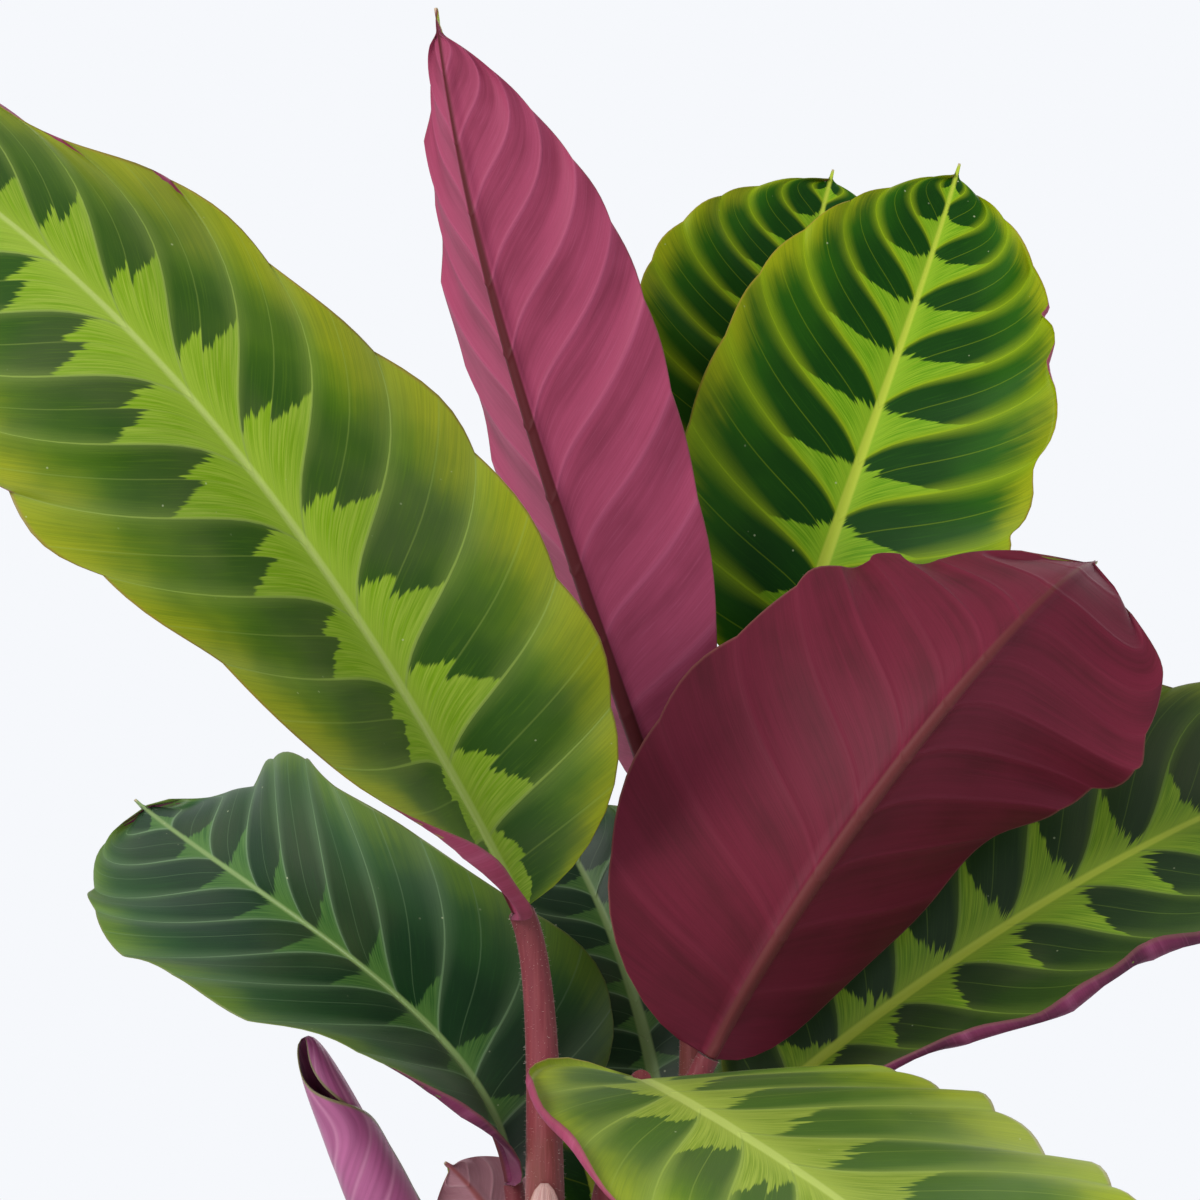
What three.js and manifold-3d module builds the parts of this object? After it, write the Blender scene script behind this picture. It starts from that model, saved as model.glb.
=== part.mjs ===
// A potted jungle velvet calathea: a clay pot, its soil and its leaves, each a blade on its own stalk.
// Millimetres, +Z up. The origin is the centre of the pot's underside, and -Y is the plant's front.

import * as THREE from "three";
import { mergeVertices } from "three/addons/utils/BufferGeometryUtils.js";
import Module from "manifold-3d";

const wasm = await Module();
wasm.setup();

// Pot
const POT_HEIGHT = 150;
const POT_BASE_RADIUS = 58;
const POT_SHOULDER_RADIUS = 79;
const RIM_RADIUS = 86;
const RIM_DEPTH = 28;
const WALL = 6;
const FLOOR = 7.5;
const ROUND_SEGMENTS = 40;
const DRAIN_RADIUS = 5;
const DRAIN_CIRCLE = 30;
const DRAINS = 4;

// Soil
const SOIL_TOP = 138;
const SOIL_RINGS = 6;
const CRUMB_HEIGHT = 1.4;
const GAP = 0.35;
const ROOT_DEPTH = 25;

// Stalks
const BURIED_TOP = SOIL_TOP + 3;
const STALK_STEPS = 7;
const THICKENING = 0.55;
const THICKENING_LENGTH = 90;

// Blades
const BLADE_THICKNESS = 0.75;
const RIDGE_AT_BASE = 2.6;
const RIDGE_AT_TIP = 0.4;
const RIDGE_HALF_WIDTH = 3;
const BODY_END = 0.965;
const BASE_HALF_WIDTH = 2.5;
const TIP_HALF_WIDTH = 0.4;

// How far a side vein leans towards the tip by the time it is v of the way to the margin.
const LEAN_AT_RIB = 0.045;
const LEAN_EVEN = 0.12;
const LEAN_AT_MARGIN = 0.065;

// Each leaf has:
// rib: the four points of the cubic curve that the midrib follows, from stalk to tip
// face: the direction that the upper face looks in at the base, halfway and the tip
// half: half widths, left and right, as seen with the upper face to the eye and the tip up
// outline: where the blade is widest, then two exponents for the base end and two for the tip end
// fold: angle of each half out of the flat at the base, halfway and the tip; curl: the bend across each half
// wave: height, number of waves, phase on the left and on the right of the slow wave along the margin
// veins: side veins on each half; pleat: how far the blade rises between them
// scallop: how far the margin bulges between them, as a share of the half width
// root: where the stalk leaves the soil; lean: how far the stalk keeps the blade's direction; push: its bulge
const LEAVES = [
  {
    name: "left_front",
    rib: [[-32, -45, 336], [-72, -75, 420], [-140, -130, 536], [-237, -150, 566]],
    face: [[0.45, -0.88, 0.15], [0.1, -0.95, 0], [-0.3, -0.9, -0.4]],
    half: [65, 61],
    outline: [0.4, 2.8, 0.5, 2.2, 0.66],
    fold: [[62, 35, -8], [20, 32, 26]],
    curl: [12, 10],
    wave: [3, 5, 0, 0.5],
    veins: 13,
    pleat: 3,
    scallop: 0.1,
    root: [-25, -50],
    stalk: 3.8,
    lean: 0.12,
  },
  {
    name: "centre_tall",
    rib: [[7, 10, 369], [-20, 15, 446], [-50, 22, 530], [-59, 25, 607]],
    face: [[0.6, 0.8, 0], [0.6, 0.8, 0], [0.6, 0.8, 0]],
    half: [45, 48],
    outline: [0.55, 2.6, 0.5, 2, 0.85],
    fold: [[40, 38, 36], [37, 33, 32]],
    curl: [8, 8],
    wave: [1.2, 5, 0.2, 0.6],
    veins: 11,
    pleat: 1.5,
    scallop: 0.03,
    root: [14, 6],
  },
  {
    name: "right_back",
    rib: [[48, 55, 398], [66, 66, 455], [94, 85, 522], [108, 110, 568]],
    face: [[0, -1, 0.1], [0, -1, 0.1], [0, -1, 0.1]],
    half: [58, 58],
    outline: [0.44, 2.4, 0.5, 2, 0.8],
    fold: [[12, 12, 12], [10, 10, 10]],
    wave: [2, 4, 0, 0.5],
    veins: 10,
    pleat: 1.6,
    scallop: 0.03,
    root: [24, 28],
  },
  {
    name: "centre_back",
    rib: [[38, 105, 432], [45, 115, 480], [58, 130, 530], [69, 150, 570]],
    face: [[0, -1, 0.1], [0, -1, 0.1], [0, -1, 0.1]],
    half: [55, 55],
    outline: [0.5, 2.2, 0.5, 2.2, 0.75],
    fold: [[12, 12, 12], [12, 12, 12]],
    curl: [12, 12],
    wave: [2, 4, 0, 0.5],
    veins: 10,
    pleat: 1.5,
    scallop: 0.03,
    root: [8, 38],
  },
  {
    name: "right_front",
    rib: [[23, -25, 292], [54, -32, 352], [118, -60, 436], [141, 12, 437]],
    face: [[-0.1, 0.97, 0.1], [-0.2, 0.94, -0.1], [-0.2, 0.6, -0.7]],
    half: [66, 70],
    outline: [0.5, 2.4, 0.5, 3.4, 0.45],
    fold: [[38, 42, 10], [-25, 30, 20]],
    curl: [10, 8],
    wave: [2.4, 5, 0, 0.75],
    veins: 11,
    pleat: 1.1,
    scallop: 0.04,
    root: [14, -20],
    stalk: 3.4,
  },
  {
    name: "right_low",
    rib: [[35, 15, 267], [80, 22, 306], [160, 35, 362], [242, 45, 382]],
    face: [[-0.1, -0.85, 0.5], [-0.1, -0.85, 0.5], [-0.1, -0.85, 0.5]],
    half: [60, 58],
    outline: [0.5, 2, 0.6, 2, 0.8],
    fold: [[10, 10, 10], [50, 12, 10]],
    curl: [10, 42],
    wave: [3, 5, 0, 0.5],
    veins: 11,
    pleat: 2,
    scallop: 0.05,
    root: [30, 2],
    stalk: 3,
    lean: 0.12,
  },
  {
    name: "left_low",
    rib: [[-35, -5, 252], [-44, -5, 305], [-112, -10, 336], [-158, 88, 362]],
    face: [[0, -1, 0.2], [0, -1, 0.25], [0, -1, 0.3]],
    half: [57, 51],
    outline: [0.34, 3, 0.42, 2.4, 0.44],
    fold: [[96, 47, 6], [-74, 49, -52]],
    curl: [8, -10],
    wave: [2.4, 5, 0.2, 0.2],
    veins: 10,
    pleat: 2,
    scallop: 0.03,
    root: [-30, -8],
    stalk: 3,
    lean: 0.2,
  },
  {
    name: "front_arching",
    rib: [[3, -45, 287], [6, -90, 292], [76, -150, 262], [146, -190, 190]],
    face: [[-0.1, -0.5, 0.85], [0.05, -0.6, 0.78], [0.2, -0.7, 0.7]],
    half: [86, 50],
    outline: [0.42, 3, 0.5, 2.2, 0.55],
    fold: [[-6, -13, 9], [26, 2, 12]],
    curl: [-10, 8],
    wave: [3, 5, 0, 0.5],
    veins: 11,
    pleat: 2,
    scallop: 0.05,
    root: [-8, -36],
    stalk: 3,
    lean: 0.2,
    push: [-18, 10],
  },
  {
    name: "centre_small",
    rib: [[9, 30, 270], [5, 38, 300], [-8, 52, 335], [-28, 66, 363]],
    face: [[0, -1, 0.2], [0, -1, 0.2], [0, -1, 0.2]],
    half: [38, 38],
    outline: [0.46, 2.2, 0.5, 2.2, 0.75],
    fold: [[12, 12, 12], [12, 12, 12]],
    curl: [12, 12],
    wave: [1.5, 4, 0, 0.5],
    pleat: 1.1,
    scallop: 0.04,
    root: [4, 22],
    stalk: 2.6,
  },
  {
    name: "left_young",
    rib: [[-22, 14, 178], [-28, 14, 215], [-38, 16, 240], [-56, 10, 256]],
    face: [[0.1, 0.95, -0.1], [0.1, 0.93, -0.3], [0.1, 0.9, -0.5]],
    half: [26, 26],
    outline: [0.5, 2.2, 0.5, 2.2, 0.75],
    fold: [[30, 30, 30], [30, 30, 30]],
    curl: [15, 15],
    wave: [1, 3, 0, 0.5],
    veins: 7,
    pleat: 1,
    scallop: 0.03,
    root: [-16, 14],
    stalk: 2.4,
  },
  {
    name: "skirt_front_left",
    rib: [[-40, -52, 172], [-75, -85, 205], [-130, -125, 190], [-178, -150, 120]],
    face: [[0, -0.5, 0.85], [0, -0.55, 0.75], [0, -0.6, 0.6]],
    half: [44, 44],
    root: [-40, -36],
  },
  {
    name: "skirt_front_right",
    rib: [[24, -58, 170], [45, -95, 205], [85, -150, 185], [112, -190, 112]],
    face: [[0, -0.5, 0.85], [0, -0.55, 0.75], [0, -0.6, 0.6]],
    half: [44, 44],
    root: [18, -46],
  },
  {
    name: "skirt_right",
    rib: [[62, -8, 178], [105, -15, 222], [175, -28, 205], [226, -30, 120]],
    face: [[0, -0.2, 0.95], [0.2, -0.2, 0.9], [0.5, -0.2, 0.8]],
    half: [46, 46],
    root: [46, -10],
  },
  {
    name: "skirt_left",
    rib: [[-64, 22, 182], [-105, 30, 226], [-175, 45, 205], [-226, 55, 130]],
    face: [[0, 0, 1], [-0.2, 0, 0.9], [-0.5, 0, 0.8]],
    half: [46, 46],
    root: [-46, 16],
  },
  {
    name: "back_left",
    rib: [[-8, 60, 230], [-20, 80, 290], [-70, 150, 345], [-112, 215, 318]],
    face: [[0, -0.3, 1], [0, 0.1, 0.9], [0, 0.5, 0.8]],
    half: [37, 37],
    root: [-22, 38],
  },
  {
    name: "back_right",
    rib: [[32, 62, 240], [50, 90, 305], [98, 170, 355], [146, 235, 325]],
    face: [[0, -0.3, 1], [0, 0.1, 0.9], [0, 0.5, 0.8]],
    half: [38, 38],
    root: [40, 40],
  },
  {
    name: "skirt_back",
    rib: [[-4, 72, 180], [-6, 110, 222], [-8, 180, 205], [-12, 236, 130]],
    face: [[0, 0, 1], [0, 0.2, 0.9], [0, 0.5, 0.8]],
    half: [44, 44],
    root: [-6, 58],
  },
];

// What a leaf has where its entry says nothing else. The outer leaves use this coarser mesh.
const PLAIN_LEAF = {
  outline: [0.45, 2.4, 0.5, 2, 0.8],
  fold: [[14, 14, 14], [14, 14, 14]],
  curl: [14, 14],
  wave: [3, 3, 0.1, 0.6],
  veins: 9,
  pleat: 1.4,
  scallop: 0.035,
  stalk: 2.8,
  lean: 0.3,
  push: [0, 0],
};

const vector = (p) => new THREE.Vector3(...p);
const radians = THREE.MathUtils.degToRad;
const mix = THREE.MathUtils.lerp;
const clamp = THREE.MathUtils.clamp;

// The same value at the base, halfway and the tip as in the list of three.
function along(list, t) {
  return list[0] * (1 - t) * (1 - 2 * t) + list[1] * 4 * t * (1 - t) + list[2] * t * (2 * t - 1);
}

function curveOf(points) {
  return new THREE.CubicBezierCurve3(...points.map(vector));
}

// Half width of a blade at t, with its rounded base, its tapering end and the narrow drip tip.
function halfWidth(leaf, half, t) {
  const [widest, baseIn, baseOut, tipIn, tipOut] = leaf.outline;
  const onBase = t < widest;
  const x = clamp(onBase ? (widest - t) / widest : (t - widest) / (BODY_END - widest), 0, 1);
  const body = onBase ? (1 - x ** baseIn) ** baseOut : (1 - x ** tipIn) ** tipOut;
  const stem = mix(BASE_HALF_WIDTH, TIP_HALF_WIDTH, t ** 6);
  return Math.hypot(body * half, stem);
}

// A point of the blade's middle surface and the way its upper face looks there.
// r is where the side vein leaves the midrib, and v goes from -1 at the right margin to 1 at the left.
function bladePoint(leaf, r, v) {
  const a = Math.abs(v);
  const side = Math.sign(v);
  const which = v < 0 ? 1 : 0;
  const sweep = LEAN_AT_RIB * (1 - Math.exp(-a / 0.12)) + LEAN_EVEN * a + LEAN_AT_MARGIN * a ** 3;
  const t = r + 4 * sweep * r * (1 - r);
  const centre = leaf.curve.getPoint(t);
  const forward = leaf.curve.getTangent(t);
  const facing = leaf.turn.getPoint(t);
  const up = facing.addScaledVector(forward, -facing.dot(forward)).normalize();
  const left = new THREE.Vector3().crossVectors(up, forward);
  const ripple = Math.abs(Math.sin(Math.PI * leaf.veins * r)) - 0.5;
  const swell = Math.sqrt(Math.max(0, Math.sin(Math.PI * r)));
  const width = halfWidth(leaf, leaf.half[which], t);
  const spread = a * width * (1 + leaf.scallop * ripple * swell * a ** 4);
  const fold = radians(along(leaf.fold[which], t)) * (1 - Math.exp(-width / 6)) * Math.min(1, a * 1e6);
  const bend = radians(leaf.curl[which] || 1e-3);
  const radius = leaf.half[which] / bend;
  const tilt = fold + spread / radius;
  const out = radius * (Math.sin(tilt) - Math.sin(fold));
  const rise = radius * (Math.cos(fold) - Math.cos(tilt));
  const normal = up.clone().multiplyScalar(Math.cos(tilt)).addScaledVector(left, -side * Math.sin(tilt));
  const [height, waves, phaseLeft, phaseRight] = leaf.wave;
  const phase = which ? phaseRight : phaseLeft;
  const wave = height * a * a * Math.sin(2 * Math.PI * (waves * r + phase)) * swell;
  const pleat = leaf.pleat * swell * a ** 0.8 * ripple;
  const point = centre.addScaledVector(left, side * out).addScaledVector(up, rise);
  point.addScaledVector(normal, wave + pleat);
  return { point, normal, width, t };
}

// A closed solid from a grid of points for the upper face and one for the lower face.
function sheetGeometry(upper, lower) {
  const rows = upper.length;
  const columns = upper[0].length;
  const positions = [...upper.flat(), ...lower.flat()].flatMap((p) => [p.x, p.y, p.z]);
  const top = (i, j) => i * columns + j;
  const bottom = (i, j) => rows * columns + i * columns + j;
  const faces = [];
  const wall = (i0, j0, i1, j1) => {
    faces.push(top(i0, j0), top(i1, j1), bottom(i1, j1));
    faces.push(top(i0, j0), bottom(i1, j1), bottom(i0, j0));
  };
  for (let i = 0; i < rows - 1; i++) {
    for (let j = 0; j < columns - 1; j++) {
      faces.push(top(i, j), top(i + 1, j), top(i + 1, j + 1));
      faces.push(top(i, j), top(i + 1, j + 1), top(i, j + 1));
      faces.push(bottom(i, j), bottom(i + 1, j + 1), bottom(i + 1, j));
      faces.push(bottom(i, j), bottom(i, j + 1), bottom(i + 1, j + 1));
    }
    wall(i + 1, 0, i, 0);
    wall(i, columns - 1, i + 1, columns - 1);
  }
  for (let j = 0; j < columns - 1; j++) {
    wall(0, j, 0, j + 1);
    wall(rows - 1, j + 1, rows - 1, j);
  }
  const geometry = new THREE.BufferGeometry();
  geometry.setAttribute("position", new THREE.Float32BufferAttribute(positions, 3));
  geometry.setIndex(faces);
  geometry.computeVertexNormals();
  return geometry;
}

// The rows of a blade are its side veins, and a row between each pair carries the pleat between them.
function bladeGeometry(leaf) {
  const step = leaf.coarse ? 1 / (leaf.veins + 3) : 1 / (2 * leaf.veins);
  const places = [0, 0.02];
  for (let r = step; r < 1 - step / 2; r += step) places.push(r);
  places.push(leaf.coarse ? 0.97 : 0.985, 1);
  const upper = [];
  const lower = [];
  for (const r of places) {
    const middle = bladePoint(leaf, r, 0);
    const ribEdge = Math.min(0.5, RIDGE_HALF_WIDTH / middle.width);
    const outer = leaf.coarse ? [1, ribEdge] : [1, 0.55, ribEdge];
    const columns = [...outer.map((v) => -v), 0, ...outer.reverse()];
    const line = columns.map((v) => bladePoint(leaf, r, v));
    upper.push(line.map(({ point, normal }) => point.clone().addScaledVector(normal, BLADE_THICKNESS / 2)));
    lower.push(
      line.map(({ point, normal, t }, j) => {
        const ridge = columns[j] === 0 ? mix(RIDGE_AT_BASE, RIDGE_AT_TIP, t) : 0;
        return point.clone().addScaledVector(normal, -BLADE_THICKNESS / 2 - ridge);
      }),
    );
  }
  return sheetGeometry(upper, lower);
}

// A solid tube through rings of points, with flat ends.
function tubeGeometry({ centres, directions }, radii, sides) {
  const positions = [];
  const faces = [];
  let across = new THREE.Vector3(1, 0, 0);
  centres.forEach((centre, i) => {
    const forward = directions[i];
    across = across.clone().addScaledVector(forward, -across.dot(forward)).normalize();
    const other = new THREE.Vector3().crossVectors(forward, across);
    for (let k = 0; k < sides; k++) {
      const angle = (2 * Math.PI * k) / sides;
      const p = centre.clone().addScaledVector(across, radii[i] * Math.cos(angle));
      p.addScaledVector(other, radii[i] * Math.sin(angle));
      positions.push(p.x, p.y, p.z);
    }
  });
  const last = (centres.length - 1) * sides;
  for (let i = 0; i < centres.length - 1; i++) {
    for (let k = 0; k < sides; k++) {
      const a = i * sides + k;
      const b = i * sides + ((k + 1) % sides);
      faces.push(a, b, b + sides, a, b + sides, a + sides);
    }
  }
  for (let k = 1; k < sides - 1; k++) {
    faces.push(0, k + 1, k);
    faces.push(last, last + k, last + k + 1);
  }
  const geometry = new THREE.BufferGeometry();
  geometry.setAttribute("position", new THREE.Float32BufferAttribute(positions, 3));
  geometry.setIndex(faces);
  geometry.computeVertexNormals();
  return geometry;
}

// The stalk's centre line: straight up out of its hole in the soil, then a curve that meets the blade end on.
function stalkLine(leaf) {
  const [x, y] = leaf.root;
  const start = new THREE.Vector3(x, y, BURIED_TOP);
  const tangent = leaf.curve.getTangent(0);
  const end = leaf.curve.getPoint(0).addScaledVector(tangent, -GAP);
  const height = end.z - BURIED_TOP;
  const straight = new THREE.Vector3(
    x + 0.1 * (end.x - x) + leaf.push[0],
    y + 0.1 * (end.y - y) + leaf.push[1],
    BURIED_TOP + height * 0.5,
  );
  const back = end.clone().addScaledVector(tangent, -Math.min(height * leaf.lean, 90));
  const rise = new THREE.CubicBezierCurve3(start, straight, back, end);
  const steps = Array.from({ length: STALK_STEPS + 1 }, (_, i) => i / STALK_STEPS);
  const upwards = new THREE.Vector3(0, 0, 1);
  return {
    centres: [new THREE.Vector3(x, y, SOIL_TOP - ROOT_DEPTH), ...steps.map((t) => rise.getPoint(t))],
    directions: [upwards, upwards, ...steps.slice(1).map((t) => rise.getTangent(t))],
  };
}

function stalkRadius(leaf, fromTop) {
  return leaf.stalk * (1 + THICKENING * Math.min(1, fromTop / THICKENING_LENGTH));
}

function stalkGeometry(leaf) {
  const line = stalkLine(leaf);
  const end = line.centres.at(-1);
  const radii = line.centres.map((p) => stalkRadius(leaf, p.distanceTo(end)));
  return tubeGeometry(line, radii, leaf.coarse ? 6 : 8);
}

// The newest leaf, still rolled into a loose scroll that narrows to a point.
const ROLL = {
  name: "new_roll",
  rib: [[-44, 14, 178], [-60, 14, 212], [-84, 10, 262], [-98, 8, 294]],
  root: [-34, 14],
  stalk: 2.4,
  lean: 0.4,
  push: [0, 0],
  rows: 11,
  columns: 15,
};

function rollGeometry(roll) {
  const upper = [];
  const lower = [];
  for (let i = 0; i <= roll.rows; i++) {
    const s = i / roll.rows;
    const centre = roll.curve.getPoint(s);
    const forward = roll.curve.getTangent(s);
    const right = new THREE.Vector3(1, 0, 0).addScaledVector(forward, -forward.x).normalize();
    const away = new THREE.Vector3().crossVectors(forward, right);
    const radius = mix(2.4, 0.9, s) + 8.2 * Math.sin(Math.PI * s ** 0.85) ** 0.75;
    const turns = 0.72 + 0.5 * Math.sin(Math.PI * s);
    const edge = radians(-110 + 150 * (1 - Math.exp((s - 1) / 0.28)));
    const drop = Math.min(1.9, 0.6 * radius);
    const outside = [];
    const inside = [];
    for (let j = 0; j <= roll.columns; j++) {
      const turn = (turns * j) / roll.columns;
      const angle = edge - 2 * Math.PI * turn;
      const direction = right.clone().multiplyScalar(Math.cos(angle)).addScaledVector(away, Math.sin(angle));
      const r = radius + drop * (0.5 - turn);
      outside.push(centre.clone().addScaledVector(direction, r + BLADE_THICKNESS / 2));
      inside.push(centre.clone().addScaledVector(direction, r - BLADE_THICKNESS / 2));
    }
    upper.push(outside);
    lower.push(inside);
  }
  return sheetGeometry(upper, lower);
}

// The papery sheath that clasps the front of the left front stalk and ends in a point.
const SHEATH = { bottom: SOIL_TOP + 3.5, top: 258, rows: 9, columns: 6, reach: 78, lift: 0.5 };

function sheathGeometry(leaf) {
  const line = new THREE.CatmullRomCurve3(stalkLine(leaf).centres);
  const end = line.points.at(-1);
  const outer = [];
  const inner = [];
  for (let i = 0; i <= SHEATH.rows; i++) {
    const z = mix(SHEATH.bottom, SHEATH.top, i / SHEATH.rows);
    const centre = pointAtHeight(line, z);
    const reach = radians(SHEATH.reach) * Math.sqrt(1 - 0.985 * (i / SHEATH.rows) ** 5);
    const flare = SHEATH.lift * (i / SHEATH.rows) ** 3;
    const inside = stalkRadius(leaf, centre.distanceTo(end)) + GAP + flare;
    const outsideRow = [];
    const insideRow = [];
    for (let j = 0; j <= SHEATH.columns; j++) {
      const angle = -Math.PI / 2 + reach * (1 - (2 * j) / SHEATH.columns);
      const direction = new THREE.Vector3(Math.cos(angle), Math.sin(angle), 0);
      outsideRow.push(centre.clone().addScaledVector(direction, inside + BLADE_THICKNESS));
      insideRow.push(centre.clone().addScaledVector(direction, inside));
    }
    outer.push(outsideRow);
    inner.push(insideRow);
  }
  return sheetGeometry(outer, inner);
}

function pointAtHeight(line, z) {
  let low = 0;
  let high = 1;
  for (let i = 0; i < 30; i++) {
    const middle = (low + high) / 2;
    if (line.getPoint(middle).z < z) low = middle;
    else high = middle;
  }
  return line.getPoint(low);
}

function solidOf(geometry) {
  const bare = geometry.clone();
  bare.deleteAttribute("normal");
  bare.deleteAttribute("uv");
  const merged = mergeVertices(bare, 1e-4);
  return new wasm.Manifold(
    new wasm.Mesh({
      numProp: 3,
      vertProperties: merged.attributes.position.array,
      triVerts: new Uint32Array(merged.index.array),
    }),
  );
}

function geometryOf(solid) {
  const mesh = solid.getMesh();
  const geometry = new THREE.BufferGeometry();
  geometry.setAttribute("position", new THREE.BufferAttribute(new Float32Array(mesh.vertProperties), 3));
  geometry.setIndex(new THREE.BufferAttribute(new Uint32Array(mesh.triVerts), 1));
  geometry.computeVertexNormals();
  return geometry;
}

function upright(profile) {
  const points = profile.map(([radius, height]) => new THREE.Vector2(radius, height));
  return new THREE.LatheGeometry(points, ROUND_SEGMENTS).rotateX(Math.PI / 2);
}

function plug(x, y, bottom, top, radius, sides) {
  const length = top - bottom;
  const cylinder = new THREE.CylinderGeometry(radius, radius, length, sides);
  return cylinder.rotateX(Math.PI / 2).translate(x, y, bottom + length / 2);
}

const SHOULDER = POT_HEIGHT - RIM_DEPTH;

function innerRadius(z) {
  return mix(POT_BASE_RADIUS, POT_SHOULDER_RADIUS, z / SHOULDER) - WALL;
}

function potGeometry() {
  const profile = [
    [0, 0],
    [POT_BASE_RADIUS - 2, 0],
    [POT_BASE_RADIUS, 2],
    [POT_SHOULDER_RADIUS, SHOULDER],
    [RIM_RADIUS - 2, SHOULDER + 1.5],
    [RIM_RADIUS - 1, SHOULDER + 4],
    [RIM_RADIUS, POT_HEIGHT - 4],
    [RIM_RADIUS - 1.5, POT_HEIGHT - 1],
    [RIM_RADIUS - 3.5, POT_HEIGHT],
    [innerRadius(POT_HEIGHT) + 2, POT_HEIGHT - 1],
    [innerRadius(POT_HEIGHT), POT_HEIGHT - 4],
    [innerRadius(FLOOR + 2), FLOOR + 2],
    [innerRadius(FLOOR + 2) - 2, FLOOR],
    [0, FLOOR],
  ];
  let pot = solidOf(upright(profile));
  for (let k = 0; k < DRAINS; k++) {
    const angle = (2 * Math.PI * (k + 0.5)) / DRAINS;
    const x = DRAIN_CIRCLE * Math.cos(angle);
    const y = DRAIN_CIRCLE * Math.sin(angle);
    pot = pot.subtract(solidOf(plug(x, y, -1, FLOOR + 1, DRAIN_RADIUS, 16)));
  }
  return geometryOf(pot);
}

// Crumbs of soil: a few crossing ripples of odd lengths, so that no two lumps look alike.
function soilHeight(x, y) {
  const long = Math.sin(0.19 * x + 1.3) * Math.cos(0.16 * y - 0.4);
  const short = Math.sin(0.41 * x - 0.37 * y) * Math.cos(0.33 * x + 0.47 * y + 2.1);
  return SOIL_TOP + CRUMB_HEIGHT * (0.6 * long + 0.4 * short);
}

function soilGeometry(leaves) {
  const floor = FLOOR + GAP;
  const edge = innerRadius(SOIL_TOP) - GAP;
  const profile = [
    [0, floor],
    [innerRadius(FLOOR + 2) - 2 - GAP, floor],
    [innerRadius(FLOOR + 2) - GAP, floor + 2.2],
    [edge, SOIL_TOP],
  ];
  for (let ring = SOIL_RINGS - 1; ring >= 0; ring--) profile.push([(edge * ring) / SOIL_RINGS, SOIL_TOP]);
  const body = upright(profile);
  const place = body.attributes.position;
  for (let i = 0; i < place.count; i++) {
    const x = place.getX(i);
    const y = place.getY(i);
    const fromEdge = 1 - Math.hypot(x, y) / edge;
    if (place.getZ(i) > SOIL_TOP - 1 && fromEdge > 0.01) place.setZ(i, soilHeight(x, y));
  }
  let soil = solidOf(body);
  for (const leaf of leaves) {
    const [x, y] = leaf.root;
    const sides = 10;
    const widest = stalkRadius(leaf, THICKENING_LENGTH);
    const radius = (widest + 2 * GAP) / Math.cos(Math.PI / sides);
    soil = soil.subtract(solidOf(plug(x, y, SOIL_TOP - ROOT_DEPTH - GAP, SOIL_TOP + 10, radius, sides)));
  }
  return geometryOf(soil);
}

function material(color, roughness) {
  return new THREE.MeshStandardMaterial({ color, roughness, metalness: 0, flatShading: true });
}

const VELVET = material(0x3f6b24, 0.75);
const UNDERSIDE = material(0x7d3350, 0.7);
const NEW_LEAF = material(0xb06490, 0.6);
const STALK = material(0x9c5252, 0.6);
const SHEATH_SKIN = material(0xcfa8a0, 0.8);
const SOIL = material(0x3a2c22, 1);
const CLAY = material(0xb5694a, 0.85);

function mesh(name, geometry, surface) {
  const made = new THREE.Mesh(geometry, surface);
  made.name = name;
  return made;
}

// A leaf's two pieces share a group that stands where the stalk leaves the soil.
function leafGroup(leaf, blade, surface) {
  const group = new THREE.Group();
  const [x, y] = leaf.root;
  group.position.set(x, y, SOIL_TOP);
  const stalk = mesh(leaf.name + "_stalk", stalkGeometry(leaf), STALK);
  for (const piece of [mesh(leaf.name + "_blade", blade, surface), stalk]) {
    piece.geometry.translate(-x, -y, -SOIL_TOP);
    group.add(piece);
  }
  return group;
}

const leaves = LEAVES.map((entry) => {
  const leaf = { ...PLAIN_LEAF, coarse: !entry.outline, ...entry };
  leaf.curve = curveOf(leaf.rib);
  leaf.turn = new THREE.QuadraticBezierCurve3(...leaf.face.map(vector));
  return leaf;
});
const roll = { ...ROLL, curve: curveOf(ROLL.rib) };
const SHOWS_UNDERSIDE = ["centre_tall", "right_front", "left_young"];

const plant = new THREE.Group();
for (const leaf of leaves) {
  const surface = SHOWS_UNDERSIDE.includes(leaf.name) ? UNDERSIDE : VELVET;
  plant.add(leafGroup(leaf, bladeGeometry(leaf), surface));
}
plant.add(leafGroup(roll, rollGeometry(roll), NEW_LEAF));
plant.add(mesh("stalk_sheath", sheathGeometry(leaves[0]), SHEATH_SKIN));

const group = new THREE.Group();
group.add(mesh("pot", potGeometry(), CLAY));
group.add(mesh("soil", soilGeometry([...leaves, roll]), SOIL));
group.add(plant);

export default group;
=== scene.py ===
# %% [markdown]
# A jungle velvet calathea in its clay pot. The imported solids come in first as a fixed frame, in metres.
# Everything that follows is built around them, leaf by leaf, and at the end each piece is tied to the frame.

# %% Load the frame
import math

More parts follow.
